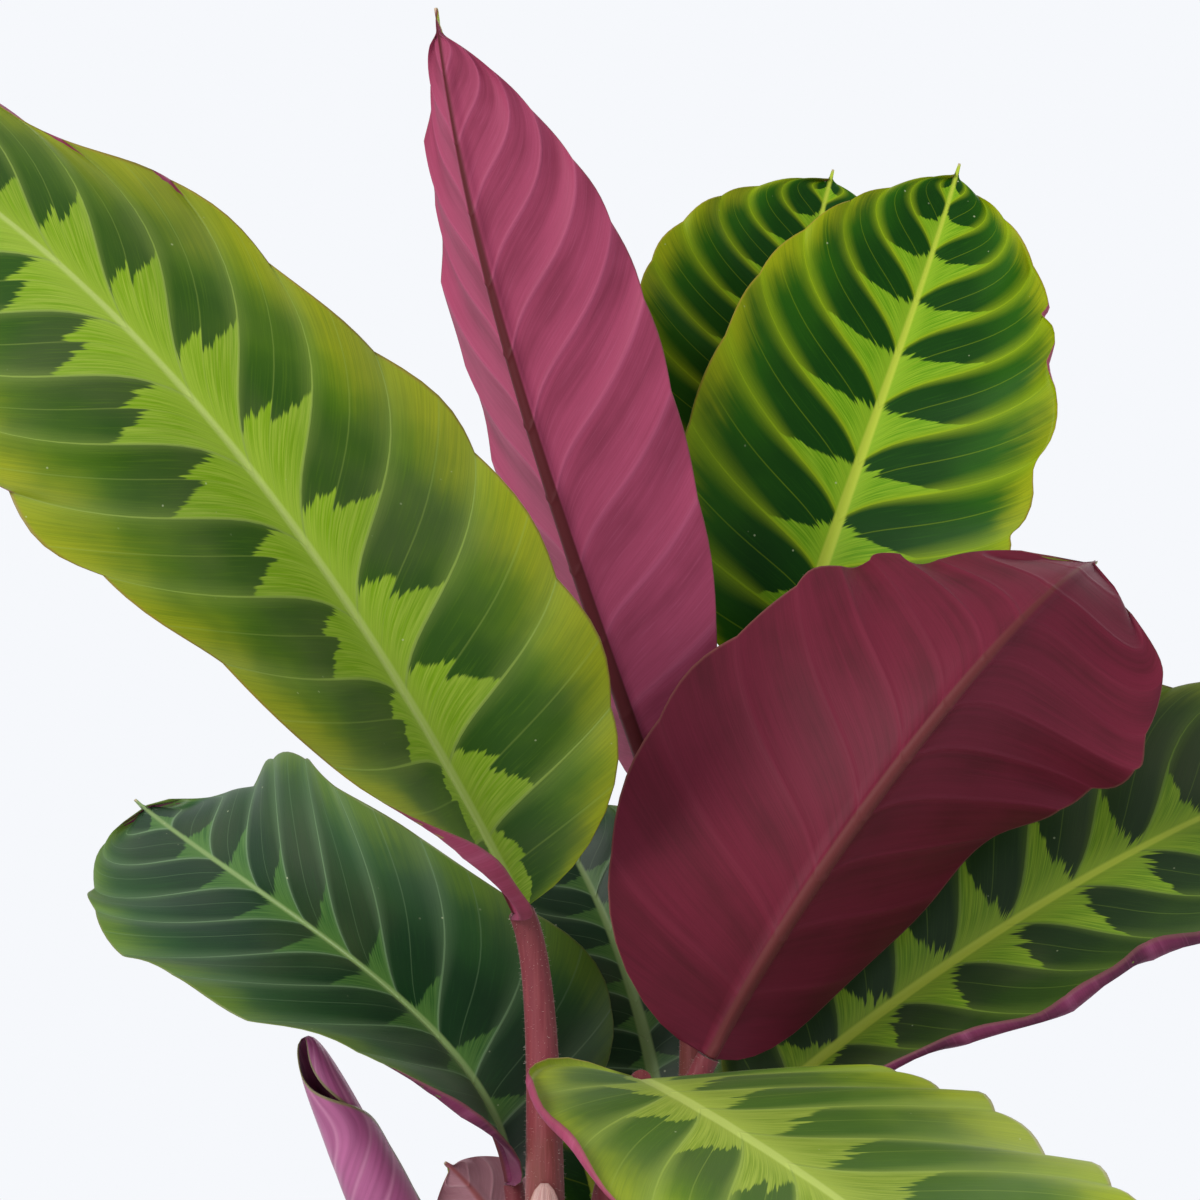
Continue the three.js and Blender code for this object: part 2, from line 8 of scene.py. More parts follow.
import bpy
import numpy as np
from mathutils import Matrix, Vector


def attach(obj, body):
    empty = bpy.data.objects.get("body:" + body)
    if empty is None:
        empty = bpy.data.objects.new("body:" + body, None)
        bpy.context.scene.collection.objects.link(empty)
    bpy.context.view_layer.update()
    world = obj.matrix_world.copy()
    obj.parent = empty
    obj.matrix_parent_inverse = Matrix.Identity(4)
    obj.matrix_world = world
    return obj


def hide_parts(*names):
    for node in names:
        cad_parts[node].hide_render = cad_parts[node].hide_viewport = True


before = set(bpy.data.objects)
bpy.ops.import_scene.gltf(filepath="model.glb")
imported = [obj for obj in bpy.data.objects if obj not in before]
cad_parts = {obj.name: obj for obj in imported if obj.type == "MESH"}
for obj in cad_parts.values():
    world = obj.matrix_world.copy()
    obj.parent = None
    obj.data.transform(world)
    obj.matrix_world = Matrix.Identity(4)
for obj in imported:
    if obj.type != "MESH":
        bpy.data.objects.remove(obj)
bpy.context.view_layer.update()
MM = 0.001
print("solids loaded:", len(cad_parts))

# %% [markdown]
# The photograph looks straight at the plant from the front, level with its upper leaves, from about 1.3 m
# away and with a long lens. A camera could be set by eye, but working from the plant's real size is surer:
# 130 mm on a 36 mm sensor sees 360 mm across at 1300 mm.

# %% Camera
CAMERA_AT = (-9, -1300, 426)
LENS = 130
SENSOR = 36
NEAREST = 0.05

camera = bpy.data.objects.new("camera", bpy.data.cameras.new("camera"))
bpy.context.collection.objects.link(camera)
camera.location = [MM * value for value in CAMERA_AT]
camera.rotation_euler = (math.pi / 2, 0, 0)
camera.data.sensor_width = SENSOR
camera.data.lens = LENS
camera.data.clip_start = NEAREST
bpy.context.scene.camera = camera
print("camera lens:", camera.data.lens, "mm")

# %% [markdown]
# Node trees for materials, geometry and the surroundings are all built the same way: add a node, set its
# settings, then give each input a number or a wire. One small helper does that for all of them. Sums on
# wires are easier to read as sums, so a second helper lets a wire be added, multiplied or compared in
# ordinary Python, and turns each of these into a Math node.


# %% Helpers for node trees
def put(tree, kind, inputs=None, **settings):
    """Adds a node, with settings by name and inputs by socket name or number."""
    node = tree.nodes.new(kind)
    for key, value in settings.items():
        setattr(node, key, value)
    for key, value in (inputs or {}).items():
        if isinstance(value, Wire):
            value = value.socket
        if isinstance(value, bpy.types.NodeSocket):
            tree.links.new(value, node.inputs[key])
        else:
            node.inputs[key].default_value = value
    return node


class Wire:
    """A number that flows through a node tree."""

    def __init__(self, tree, socket):
        self.tree = tree
        self.socket = socket

    def math(self, operation, *others, first=None):
        values = [self, *others] if first is None else [first, self]
        node = put(self.tree, "ShaderNodeMath", dict(enumerate(values)), operation=operation)
        return Wire(self.tree, node.outputs[0])

    def __add__(self, other):
        return self.math("ADD", other)

    def __sub__(self, other):
        return self.math("SUBTRACT", other)

    def __rsub__(self, other):
        return self.math("SUBTRACT", first=other)

    def __mul__(self, other):
        return self.math("MULTIPLY", other)

    def __truediv__(self, other):
        return self.math("DIVIDE", other)

    def __pow__(self, other):
        return self.math("POWER", other)

    __radd__ = __add__
    __rmul__ = __mul__

    def step(self, low, high, start=0.0, end=1.0):
        """Goes smoothly from start to end while this number goes from low to high."""
        values = {"Value": self, "From Min": low, "From Max": high, "To Min": start, "To Max": end}
        node = put(self.tree, "ShaderNodeMapRange", values, interpolation_type="SMOOTHSTEP")
        return Wire(self.tree, node.outputs["Result"])


def srgb(red, green, blue):
    """A colour as a screen shows it, 0 to 255, as the linear numbers that Blender counts in."""
    parts = [value / 255 for value in (red, green, blue)]
    return (*[p / 12.92 if p < 0.04045 else ((p + 0.055) / 1.055) ** 2.4 for p in parts], 1)


def new_finish(name):
    """An empty material and its node tree."""
    material = bpy.data.materials.new(name)
    material.use_nodes = True
    material.node_tree.nodes.clear()
    return material, material.node_tree


def show(name, mesh):
    """Puts a mesh in the scene as a piece at the origin."""
    piece = bpy.data.objects.new(name, mesh)
    bpy.context.collection.objects.link(piece)
    return piece


# %% [markdown]
# The photograph was taken on a plain, nearly white sweep in soft daylight that comes from the front left.
# A pale world gives the even light and the plain background in one. A large soft lamp at the front left
# gives the leaves their shape, and a weaker one behind lights their edges. The floor is a round disc whose
# colour runs into the background's, so that its edge never shows. Lamps and floor are in metres and watts.

# %% Light, background and floor
BACKGROUND = srgb(246, 248, 252)
DAYLIGHT = srgb(240, 246, 255)
PAPER = srgb(236, 238, 242)
SKY_LIGHT = 0.55
FLOOR_RADIUS = 3.0
FLOOR_SIDES = 96
FLOOR_DROP = 0.0004
PAPER_FADE = (0.35, 1.3)
LAMPS = {
    "key_lamp": dict(place=(-1.5, -1.6, 1.6), aim=(0, 0, 0.38), size=1.0, power=44),
    "back_lamp": dict(place=(1.2, 1.5, 1.5), aim=(0, 0, 0.4), size=1.4, power=16),
}

scene = bpy.context.scene
scene.view_settings.view_transform = "Standard"
world = bpy.data.worlds.new("studio")
scene.world = world
world.use_nodes = True
sky = world.node_tree
sky.nodes.clear()
seen = put(sky, "ShaderNodeBackground", {"Color": BACKGROUND, "Strength": 1.0})
lighting = put(sky, "ShaderNodeBackground", {"Color": DAYLIGHT, "Strength": SKY_LIGHT})
is_camera = put(sky, "ShaderNodeLightPath").outputs["Is Camera Ray"]
either = put(sky, "ShaderNodeMixShader", {0: is_camera, 1: lighting.outputs[0], 2: seen.outputs[0]})
put(sky, "ShaderNodeOutputWorld", {"Surface": either.outputs[0]})


def soft_lamp(name, place, aim, size, power):
    """A square area lamp at place, turned towards aim."""
    lamp = bpy.data.objects.new(name, bpy.data.lights.new(name, "AREA"))
    bpy.context.collection.objects.link(lamp)
    lamp.data.size = size
    lamp.data.energy = power
    lamp.location = place
    way = Vector(aim) - Vector(place)
    lamp.rotation_euler = way.to_track_quat("-Z", "Y").to_euler()


def floor_disc():
    """A flat round floor just below height 0."""
    angles = np.linspace(0, 2 * math.pi, FLOOR_SIDES, endpoint=False)
    ring = [(FLOOR_RADIUS * math.cos(a), FLOOR_RADIUS * math.sin(a), -FLOOR_DROP) for a in angles]
    mesh = bpy.data.meshes.new("floor")
    mesh.from_pydata(ring, [], [tuple(range(FLOOR_SIDES))])
    return mesh


def floor_finish():
    """Matt paper near the pot that turns into the background's own glow further out."""
    material, tree = new_finish("paper_floor")
    place = put(tree, "ShaderNodeTexCoord").outputs["Object"]
    far = Wire(tree, put(tree, "ShaderNodeVectorMath", {0: place}, operation="LENGTH").outputs["Value"])
    paper = put(tree, "ShaderNodeBsdfDiffuse", {"Color": PAPER})
    glow = put(tree, "ShaderNodeEmission", {"Color": BACKGROUND})
    fade = {0: far.step(*PAPER_FADE), 1: paper.outputs[0], 2: glow.outputs[0]}
    both = put(tree, "ShaderNodeMixShader", fade)
    put(tree, "ShaderNodeOutputMaterial", {"Surface": both.outputs[0]})
    return material


for name, lamp in LAMPS.items():
    soft_lamp(name, **lamp)
floor = show("floor", floor_disc())
floor.data.materials.append(floor_finish())
print("floor radius:", FLOOR_RADIUS, "m, lamps:", len(LAMPS))

# %% [markdown]
# A calathea leaf is one blade on one stalk. Its midrib is a smooth curve in space, and its side veins leave
# it at an even spacing, start nearly square to it and lean over towards the tip. The blade puffs up a little
# between the veins, its margin waves, and its two halves fold up from the midrib by their own amounts.
# Each leaf could be sculpted by hand, but all of them follow these few rules, so one rule with a handful of
# sizes for each leaf makes them alike in the way that leaves of one plant are alike. Sizes are in millimetres
# and angles in degrees. A pair stands for the left and right half of a blade, seen from above with its tip
# ahead, and three values stand for the base, the middle and the tip. What a leaf doesn't state is as on the
# plain leaf, which comes first.

# %% The leaves and their sizes
PLAIN_LEAF = dict(
    outline=(0.45, 2.4, 0.5, 2, 0.8), fold=((14, 14, 14), (14, 14, 14)), curl=(14, 14),
    wave=(3, 3, 0.1, 0.6), veins=9, pleat=1.4, scallop=0.035, nicks=(),
    stalk=2.8, lean=0.3, push=(0, 0), under="plum",
)
LEAVES = {
    "left_front": dict(
        rib=[(-32, -45, 336), (-72, -75, 420), (-140, -130, 536), (-237, -150, 566)],
        face=[(0.45, -0.88, 0.15), (0.1, -0.95, 0), (-0.3, -0.9, -0.4)],
        half=(65, 61), outline=(0.4, 2.8, 0.5, 2.2, 0.66), fold=((62, 35, -8), (20, 32, 26)),
        curl=(12, 10), wave=(3, 5, 0, 0.5), veins=13, pleat=3, scallop=0.1,
        root=(-25, -50), stalk=3.8, lean=0.12, upper="spring", under="rose",
    ),
    "centre_tall": dict(
        rib=[(7, 10, 369), (-20, 15, 446), (-50, 22, 530), (-59, 25, 607)],
        face=[(0.6, 0.8, 0)] * 3,
        half=(45, 48), outline=(0.55, 2.6, 0.5, 2, 0.85), fold=((40, 38, 36), (37, 33, 32)),
        curl=(8, 8), wave=(1.2, 5, 0.2, 0.6), veins=11, pleat=1.5, scallop=0.03,
        root=(14, 6), upper="vivid", under="rose",
    ),
    "right_back": dict(
        rib=[(48, 55, 398), (66, 66, 455), (94, 85, 522), (108, 110, 568)],
        face=[(0, -1, 0.1)] * 3,
        half=(58, 58), outline=(0.44, 2.4, 0.5, 2, 0.8), fold=((12, 12, 12), (10, 10, 10)),
        wave=(2, 4, 0, 0.5), veins=10, pleat=1.6, scallop=0.03,
        root=(24, 28), upper="vivid", under="rose",
        nicks=(
            (1, 0.5, 2.5, 0.012), (1, 0.42, 3, 0.02), (1, 0.28, 4, 0.03), (1, 0.2, 2, 0.01),
            (1, 0.14, 3, 0.02),
        ),
    ),
    "centre_back": dict(
        rib=[(38, 105, 432), (45, 115, 480), (58, 130, 530), (69, 150, 570)],
        face=[(0, -1, 0.1)] * 3,
        half=(55, 55), outline=(0.5, 2.2, 0.5, 2.2, 0.75), fold=((12, 12, 12), (12, 12, 12)),
        curl=(12, 12), wave=(2, 4, 0, 0.5), veins=10, pleat=1.5, scallop=0.03,
        root=(8, 38), upper="vivid", under="rose",
    ),
    "right_front": dict(
        rib=[(23, -25, 292), (54, -32, 352), (118, -60, 436), (141, 12, 437)],
        face=[(-0.1, 0.97, 0.1), (-0.2, 0.94, -0.1), (-0.2, 0.6, -0.7)],
        half=(66, 70), outline=(0.5, 2.4, 0.5, 3.4, 0.45), fold=((38, 42, 10), (-25, 30, 20)),
        curl=(10, 8), wave=(2.4, 5, 0, 0.75), veins=11, pleat=1.1, scallop=0.04,
        root=(14, -20), stalk=3.4, upper="deep", under="maroon",
    ),
    "right_low": dict(
        rib=[(35, 15, 267), (80, 22, 306), (160, 35, 362), (242, 45, 382)],
        face=[(-0.1, -0.85, 0.5)] * 3,
        half=(60, 58), outline=(0.5, 2, 0.6, 2, 0.8), fold=((10, 10, 10), (50, 12, 10)),
        curl=(10, 42), wave=(3, 5, 0, 0.5), veins=11, pleat=2, scallop=0.05,
        root=(30, 2), stalk=3, lean=0.12, upper="deep",
    ),
    "left_low": dict(
        rib=[(-35, -5, 252), (-44, -5, 305), (-112, -10, 336), (-158, 88, 362)],
        face=[(0, -1, 0.2), (0, -1, 0.25), (0, -1, 0.3)],
        half=(57, 51), outline=(0.34, 3, 0.42, 2.4, 0.44), fold=((96, 47, 6), (-74, 49, -52)),
        curl=(8, -10), wave=(2.4, 5, 0.2, 0.2), veins=10, pleat=2, scallop=0.03,
        root=(-30, -8), stalk=3, lean=0.2, upper="blue",
    ),
    "front_arching": dict(
        rib=[(3, -45, 287), (6, -90, 292), (76, -150, 262), (146, -190, 190)],
        face=[(-0.1, -0.5, 0.85), (0.05, -0.6, 0.78), (0.2, -0.7, 0.7)],
        half=(86, 50), outline=(0.42, 3, 0.5, 2.2, 0.55), fold=((-6, -13, 9), (26, 2, 12)),
        curl=(-10, 8), wave=(3, 5, 0, 0.5), veins=11, pleat=2, scallop=0.05,
        root=(-8, -36), stalk=3, lean=0.2, push=(-18, 10), upper="pale", under="rose",
    ),
    "centre_small": dict(
        rib=[(9, 30, 270), (5, 38, 300), (-8, 52, 335), (-28, 66, 363)],
        face=[(0, -1, 0.2)] * 3,
        half=(38, 38), outline=(0.46, 2.2, 0.5, 2.2, 0.75), fold=((12, 12, 12), (12, 12, 12)),
        curl=(12, 12), wave=(1.5, 4, 0, 0.5), pleat=1.1, scallop=0.04,
        root=(4, 22), stalk=2.6, upper="blue",
    ),
    "left_young": dict(
        rib=[(-22, 14, 178), (-28, 14, 215), (-38, 16, 240), (-56, 10, 256)],
        face=[(0.1, 0.95, -0.1), (0.1, 0.93, -0.3), (0.1, 0.9, -0.5)],
        half=(26, 26), outline=(0.5, 2.2, 0.5, 2.2, 0.75), fold=((30, 30, 30), (30, 30, 30)),
        curl=(15, 15), wave=(1, 3, 0, 0.5), veins=7, pleat=1, scallop=0.03,
        root=(-16, 14), stalk=2.4, upper="vivid", under="dusty",
    ),
}

# %% [markdown]
# Seven more leaves stand low down and at the back, where the photograph doesn't look. They are plain leaves,
# so only their midribs, the way that they face, their half widths, roots and upper finishes are given here.

# %% The leaves all round
FORWARD_FACE = [(0, -0.5, 0.85), (0, -0.55, 0.75), (0, -0.6, 0.6)]
BACKWARD_FACE = [(0, -0.3, 1), (0, 0.1, 0.9), (0, 0.5, 0.8)]
OUTER_LEAVES = {
    "skirt_front_left": (
        [(-40, -52, 172), (-75, -85, 205), (-130, -125, 190), (-178, -150, 120)],
        FORWARD_FACE, 44, (-40, -36), "deep",
    ),
    "skirt_front_right": (
        [(24, -58, 170), (45, -95, 205), (85, -150, 185), (112, -190, 112)],
        FORWARD_FACE, 44, (18, -46), "blue",
    ),
    "skirt_right": (
        [(62, -8, 178), (105, -15, 222), (175, -28, 205), (226, -30, 120)],
        [(0, -0.2, 0.95), (0.2, -0.2, 0.9), (0.5, -0.2, 0.8)], 46, (46, -10), "deep",
    ),
    "skirt_left": (
        [(-64, 22, 182), (-105, 30, 226), (-175, 45, 205), (-226, 55, 130)],
        [(0, 0, 1), (-0.2, 0, 0.9), (-0.5, 0, 0.8)], 46, (-46, 16), "blue",
    ),
    "back_left": (
        [(-8, 60, 230), (-20, 80, 290), (-70, 150, 345), (-112, 215, 318)],
        BACKWARD_FACE, 37, (-22, 38), "vivid",
    ),
    "back_right": (
        [(32, 62, 240), (50, 90, 305), (98, 170, 355), (146, 235, 325)],
        BACKWARD_FACE, 38, (40, 40), "deep",
    ),
    "skirt_back": (
        [(-4, 72, 180), (-6, 110, 222), (-8, 180, 205), (-12, 236, 130)],
        [(0, 0, 1), (0, 0.2, 0.9), (0, 0.5, 0.8)], 44, (-6, 58), "blue",
    ),
}
for name, (rib, face, half, root, upper) in OUTER_LEAVES.items():
    LEAVES[name] = dict(rib=rib, face=face, half=(half, half), root=root, upper=upper)
LEAVES = {name: {**PLAIN_LEAF, **leaf} for name, leaf in LEAVES.items()}
print("leaves:", len(LEAVES))

# %% [markdown]
# The leaf rule needs points and directions on smooth curves at many places at once. Bezier curves of three
# or four points are enough, and numpy works out a whole grid of places in one go.


# %% Curves
def bezier(points, t):
    """Points of a Bezier curve of three or four control points at the places t, 0 to 1."""
    p = np.array(points, float)
    t = np.asarray(t, float)[..., None]
    s = 1 - t
    if len(p) == 3:
        return s * s * p[0] + 2 * s * t * p[1] + t * t * p[2]
    return s**3 * p[0] + 3 * s * s * t * p[1] + 3 * s * t * t * p[2] + t**3 * p[3]


def heading(points, t):
    """The direction of a curve of four control points at the places t."""
    steps = 3 * np.diff(np.array(points, float), axis=0)
    return unit(bezier(steps, t))


def unit(vectors):
    return vectors / np.linalg.norm(vectors, axis=-1, keepdims=True)


def along(three, t):
    """A value that goes smoothly from base to middle to tip."""
    return three[0] * (1 - t) * (1 - 2 * t) + three[1] * 4 * t * (1 - t) + three[2] * t * (2 * t - 1)


# %% [markdown]
# The outline comes first: how wide the blade is at each place along the midrib. Its base is rounded, its end
# narrows, and it runs out in a fine drip tip.

# %% Outline of a blade
BODY_END = 0.965
BASE_HALF_WIDTH = 2.5
TIP_HALF_WIDTH = 0.4


def half_width(leaf, half, t):
    """Half the blade's width at t, in millimetres."""
    widest, base_in, base_out, tip_in, tip_out = leaf["outline"]
    on_base = t < widest
    x = np.clip(np.where(on_base, (widest - t) / widest, (t - widest) / (BODY_END - widest)), 0, 1)
    body = np.where(on_base, (1 - x**base_in) ** base_out, (1 - x**tip_in) ** tip_out)
    stem = BASE_HALF_WIDTH + (TIP_HALF_WIDTH - BASE_HALF_WIDTH) * t**6
    return np.hypot(body * half, stem)


# %% [markdown]
# Then the surface. A place on it is given by r, where its side vein leaves the midrib, and v, which goes from
# -1 at the right margin over the midrib to 1 at the left margin. Lines of one r are then the side veins
# themselves, so that the pleats between veins and all the markings later on can simply follow r.

# %% Surface of a blade
LEAN_AT_RIB = 0.045
LEAN_REACH = 0.12
LEAN_EVEN = 0.12
LEAN_AT_MARGIN = 0.065
FOLD_START = 6


def blade_surface(leaf, r, v):
    """Middle points, upward directions, place along the midrib and signed width of the places (r, v)."""
    a = np.abs(v)
    side = np.sign(v)
    right = v < 0

    def pick(pair):
        return np.where(right, pair[1], pair[0])

    sweep = LEAN_AT_RIB * (1 - np.exp(-a / LEAN_REACH)) + LEAN_EVEN * a + LEAN_AT_MARGIN * a**3
    t = r + 4 * sweep * r * (1 - r)
    forward = heading(leaf["rib"], t)
    facing = bezier(leaf["face"], t)
    up = unit(facing - np.sum(facing * forward, -1, keepdims=True) * forward)
    left = np.cross(up, forward)
    ripple = np.abs(np.sin(math.pi * leaf["veins"] * r)) - 0.5
    swell = np.sqrt(np.maximum(0, np.sin(math.pi * r)))
    half = pick(leaf["half"])
    width = half_width(leaf, half, t)
    spread = a * width * (1 + leaf["scallop"] * ripple * swell * a**4)
    fold = pick([along(three, t) for three in leaf["fold"]])
    fold = np.radians(fold) * (1 - np.exp(-width / FOLD_START)) * np.minimum(1, a * 1e6)
    radius = half / np.radians(pick(leaf["curl"]))
    tilt = fold + spread / radius
    out = radius * (np.sin(tilt) - np.sin(fold))
    rise = radius * (np.cos(fold) - np.cos(tilt))
    normal = up * np.cos(tilt)[..., None] - left * (side * np.sin(tilt))[..., None]
    height, waves, *phases = leaf["wave"]
    wave = height * a * a * np.sin(2 * math.pi * (waves * r + pick(phases))) * swell
    pleat = leaf["pleat"] * swell * a**0.8 * ripple
    point = bezier(leaf["rib"], t) + left * (side * out)[..., None] + up * rise[..., None]
    point += normal * (wave + pleat)[..., None]
    return point, normal, t, side * spread


# %% [markdown]
# A real blade is about a third of a millimetre thick, with a round midrib below and a fine ridge under each
# side vein. Solidify would give an even thickness but no ribs, so the grid of middle points is moved out
# along its normals by its own amount on each side. Rows lie close together at each side vein, where the
# crease is sharp, and further apart between them. Columns lie close together at the midrib and the margin.
#
# A stretch of margin can roll over the blade's face. It is a round bend of the last few millimetres of the
# blade. A nick is a small bite out of the margin, given as its half (0 left, 1 right), its place along the
# midrib, its depth in millimetres and its length as a share of the midrib.

# %% Grid of a blade
HALF_THICKNESS = 0.28
MARGIN_THINNING = 0.6
RIDGE_AT_BASE = 2.4
RIDGE_AT_TIP = 0.4
RIDGE_HALF_WIDTH = 3.0
RIB_HOLLOW = 0.15
VEIN_RIDGE = 0.28
VEIN_RIDGE_PLACE = 0.035
ROW_PLACES = (0, 0.035, 0.1, 0.2, 0.35, 0.5, 0.65, 0.8, 0.9, 0.965)
RIB_COLUMNS = (0, 0.3, 0.55, 0.78, 1)
OUTER_PLACES = (
    0.05, 0.1, 0.16, 0.23, 0.3, 0.38, 0.46, 0.54, 0.62, 0.7, 0.78, 0.84, 0.88, 0.91, 0.94, 0.965, 0.985, 1,
)


def blade_rows(leaf):
    """The places r of a blade's rows, ten to each interval between side veins."""
    rows = [(k + place) / leaf["veins"] for k in range(leaf["veins"]) for place in ROW_PLACES]
    return np.array(rows + [1.0])


def blade_columns(leaf, rows):
    """The places v of every row's columns, from the right margin to the left."""
    columns = np.zeros((len(rows), 2 * (len(RIB_COLUMNS) + len(OUTER_PLACES)) - 1))
    for sign, half in ((-1, leaf["half"][1]), (1, leaf["half"][0])):
        edge = np.minimum(0.5, RIDGE_HALF_WIDTH / half_width(leaf, half, rows))
        places = [edge * place for place in RIB_COLUMNS]
        places += [edge + (1 - edge) * place for place in OUTER_PLACES]
        for j, place in enumerate(places):
            columns[:, len(places) - 1 + sign * j] = sign * place
    return columns


def rolled_margins(leaf, lips, r, v):
    """The blade's surface with its nicks, and with the stretches of margin in lips rolled over its face."""
    side = np.sign(v)
    a = np.abs(v)
    radius = np.zeros(v.shape)
    angle = np.zeros(v.shape)
    for which, size, turn, start, end in lips:
        along_lip = np.clip((r - start) / (end - start), 0, 1)
        swell = np.sin(math.pi * along_lip) ** 0.6 * (side == (1, -1)[which])
        ripple = 1 + 0.25 * np.sin(2 * math.pi * (leaf["veins"] * r + 0.2))
        radius += size * swell * ripple
        angle += math.radians(turn) * swell**0.5
    width = half_width(leaf, np.where(v < 0, leaf["half"][1], leaf["half"][0]), r)
    start = 1 - np.minimum(radius / width, 0.5)
    beyond = np.where(start < 1, np.clip((a - start) / np.maximum(1 - start, 1e-6), 0, 1), 0)
    point, normal, t, spread = blade_surface(leaf, r, side * np.minimum(a, start))
    outward = unit(np.cross(normal, heading(leaf["rib"], t))) * side[..., None]
    for which, place, depth, length in leaf["nicks"]:
        bite = np.exp(-(((r - place) / length) ** 2)) * (side == (1, -1)[which]) * a**10
        point -= outward * (depth * bite)[..., None]
    phi = angle * beyond
    point += outward * (radius * np.sin(phi))[..., None]
    point += normal * (radius * (1 - np.cos(phi)))[..., None]
    normal = normal * np.cos(phi)[..., None] - outward * np.sin(phi)[..., None]
    return point, normal, t, spread


def blade_faces(leaf, lips):
    """Upper points, lower points and the two maps that the markings follow."""
    rows = blade_rows(leaf)
    v = blade_columns(leaf, rows)
    r = np.repeat(rows[:, None], v.shape[1], axis=1)
    point, normal, t, spread = rolled_margins(leaf, lips, r, v)
    near_rib = np.clip(1 - (spread / RIDGE_HALF_WIDTH) ** 2, 0, 1)
    ridge = (RIDGE_AT_BASE + (RIDGE_AT_TIP - RIDGE_AT_BASE) * t) * near_rib
    place = r * leaf["veins"]
    on_vein = np.maximum(0, 1 - np.abs(place - np.round(place)) / VEIN_RIDGE_PLACE)
    fine = VEIN_RIDGE * on_vein * (1 - np.abs(v) ** 3) * np.sqrt(np.maximum(0, np.sin(math.pi * r)))
    skin = HALF_THICKNESS * (1 - MARGIN_THINNING * np.abs(v) ** 8)
    upper = point + normal * (skin + 0.5 * fine - RIB_HOLLOW * near_rib)[..., None]
    lower = point - normal * (skin + fine + ridge)[..., None]
    midrib = bezier(leaf["rib"], np.linspace(0, 1, 60))
    length = np.sum(np.linalg.norm(np.diff(midrib, axis=0), axis=1))
    maps = {"veins": np.stack([v, place], -1), "size": np.stack([spread, t * length], -1)}
    return upper, lower, maps


# %% [markdown]
# On some leaves a stretch of the margin rolls over towards the eye, so that a strip of the coloured underside
# shows along the edge. Each stretch is given as the half (0 left, 1 right), the radius of the roll in
# millimetres, how far it turns in degrees, and where along the midrib it starts and ends.

# %% Rolled margins
LIPS = {
    "left_front": [(0, 4.5, 112, -0.01, 0.13)],
    "right_low": [(1, 3, 145, -0.05, 1.0)],
    "left_low": [(0, 2.4, 112, 0.02, 0.18)],
    "front_arching": [(1, 2.6, 145, -0.02, 0.3)],
    "right_back": [(1, 1.2, 140, 0.25, 0.7)],
}
print("leaves with rolled margins:", len(LIPS))

# %% [markdown]
# The two grids become one closed mesh: an upper face, a lower face and a thin rim between them. The markings
# travel with it as UV maps. The map named veins holds v and the count of side veins from the base, and the
# map named size holds millimetres across and along. The upper face and the rim share one finish, and the
# lower face has its own.


# %% Closed sheet from two grids
def sheet_mesh(name, upper, lower, maps, finishes):
    """A closed mesh from an upper and a lower grid of points in millimetres."""
    rows, columns = upper.shape[:2]
    count = rows * columns
    index = np.arange(count).reshape(rows, columns)
    a, b, c, d = index[:-1, :-1], index[1:, :-1], index[1:, 1:], index[:-1, 1:]
    top = np.stack([a, b, c, d], -1).reshape(-1, 4)
    bottom = top[:, ::-1] + count
    edge = np.concatenate([index[::-1, 0], index[0, 1:], index[1:, -1], index[-1, -2:0:-1]])
    after = np.roll(edge, -1)
    rim = np.stack([edge, after, after + count, edge + count], -1)
    faces = np.concatenate([top, bottom, rim])
    points = np.concatenate([upper.reshape(-1, 3), lower.reshape(-1, 3)]) * MM
    mesh = bpy.data.meshes.new(name)
    mesh.from_pydata(points.tolist(), [], faces.tolist())
    corners = np.zeros(len(mesh.loops), int)
    mesh.loops.foreach_get("vertex_index", corners)
    for map_name, grid in maps.items():
        layer = mesh.uv_layers.new(name=map_name)
        flat = np.tile(grid.reshape(-1, 2), (2, 1))
        layer.data.foreach_set("uv", flat[corners].astype(np.float32).ravel())
    for finish in finishes:
        mesh.materials.append(finish)
    is_lower = np.zeros(len(faces), int)
    is_lower[len(top) : len(top) + len(bottom)] = min(1, len(finishes) - 1)
    mesh.polygons.foreach_set("material_index", is_lower)
    mesh.polygons.foreach_set("use_smooth", np.ones(len(faces), bool))
    mesh.validate()
    mesh.update()
    return mesh
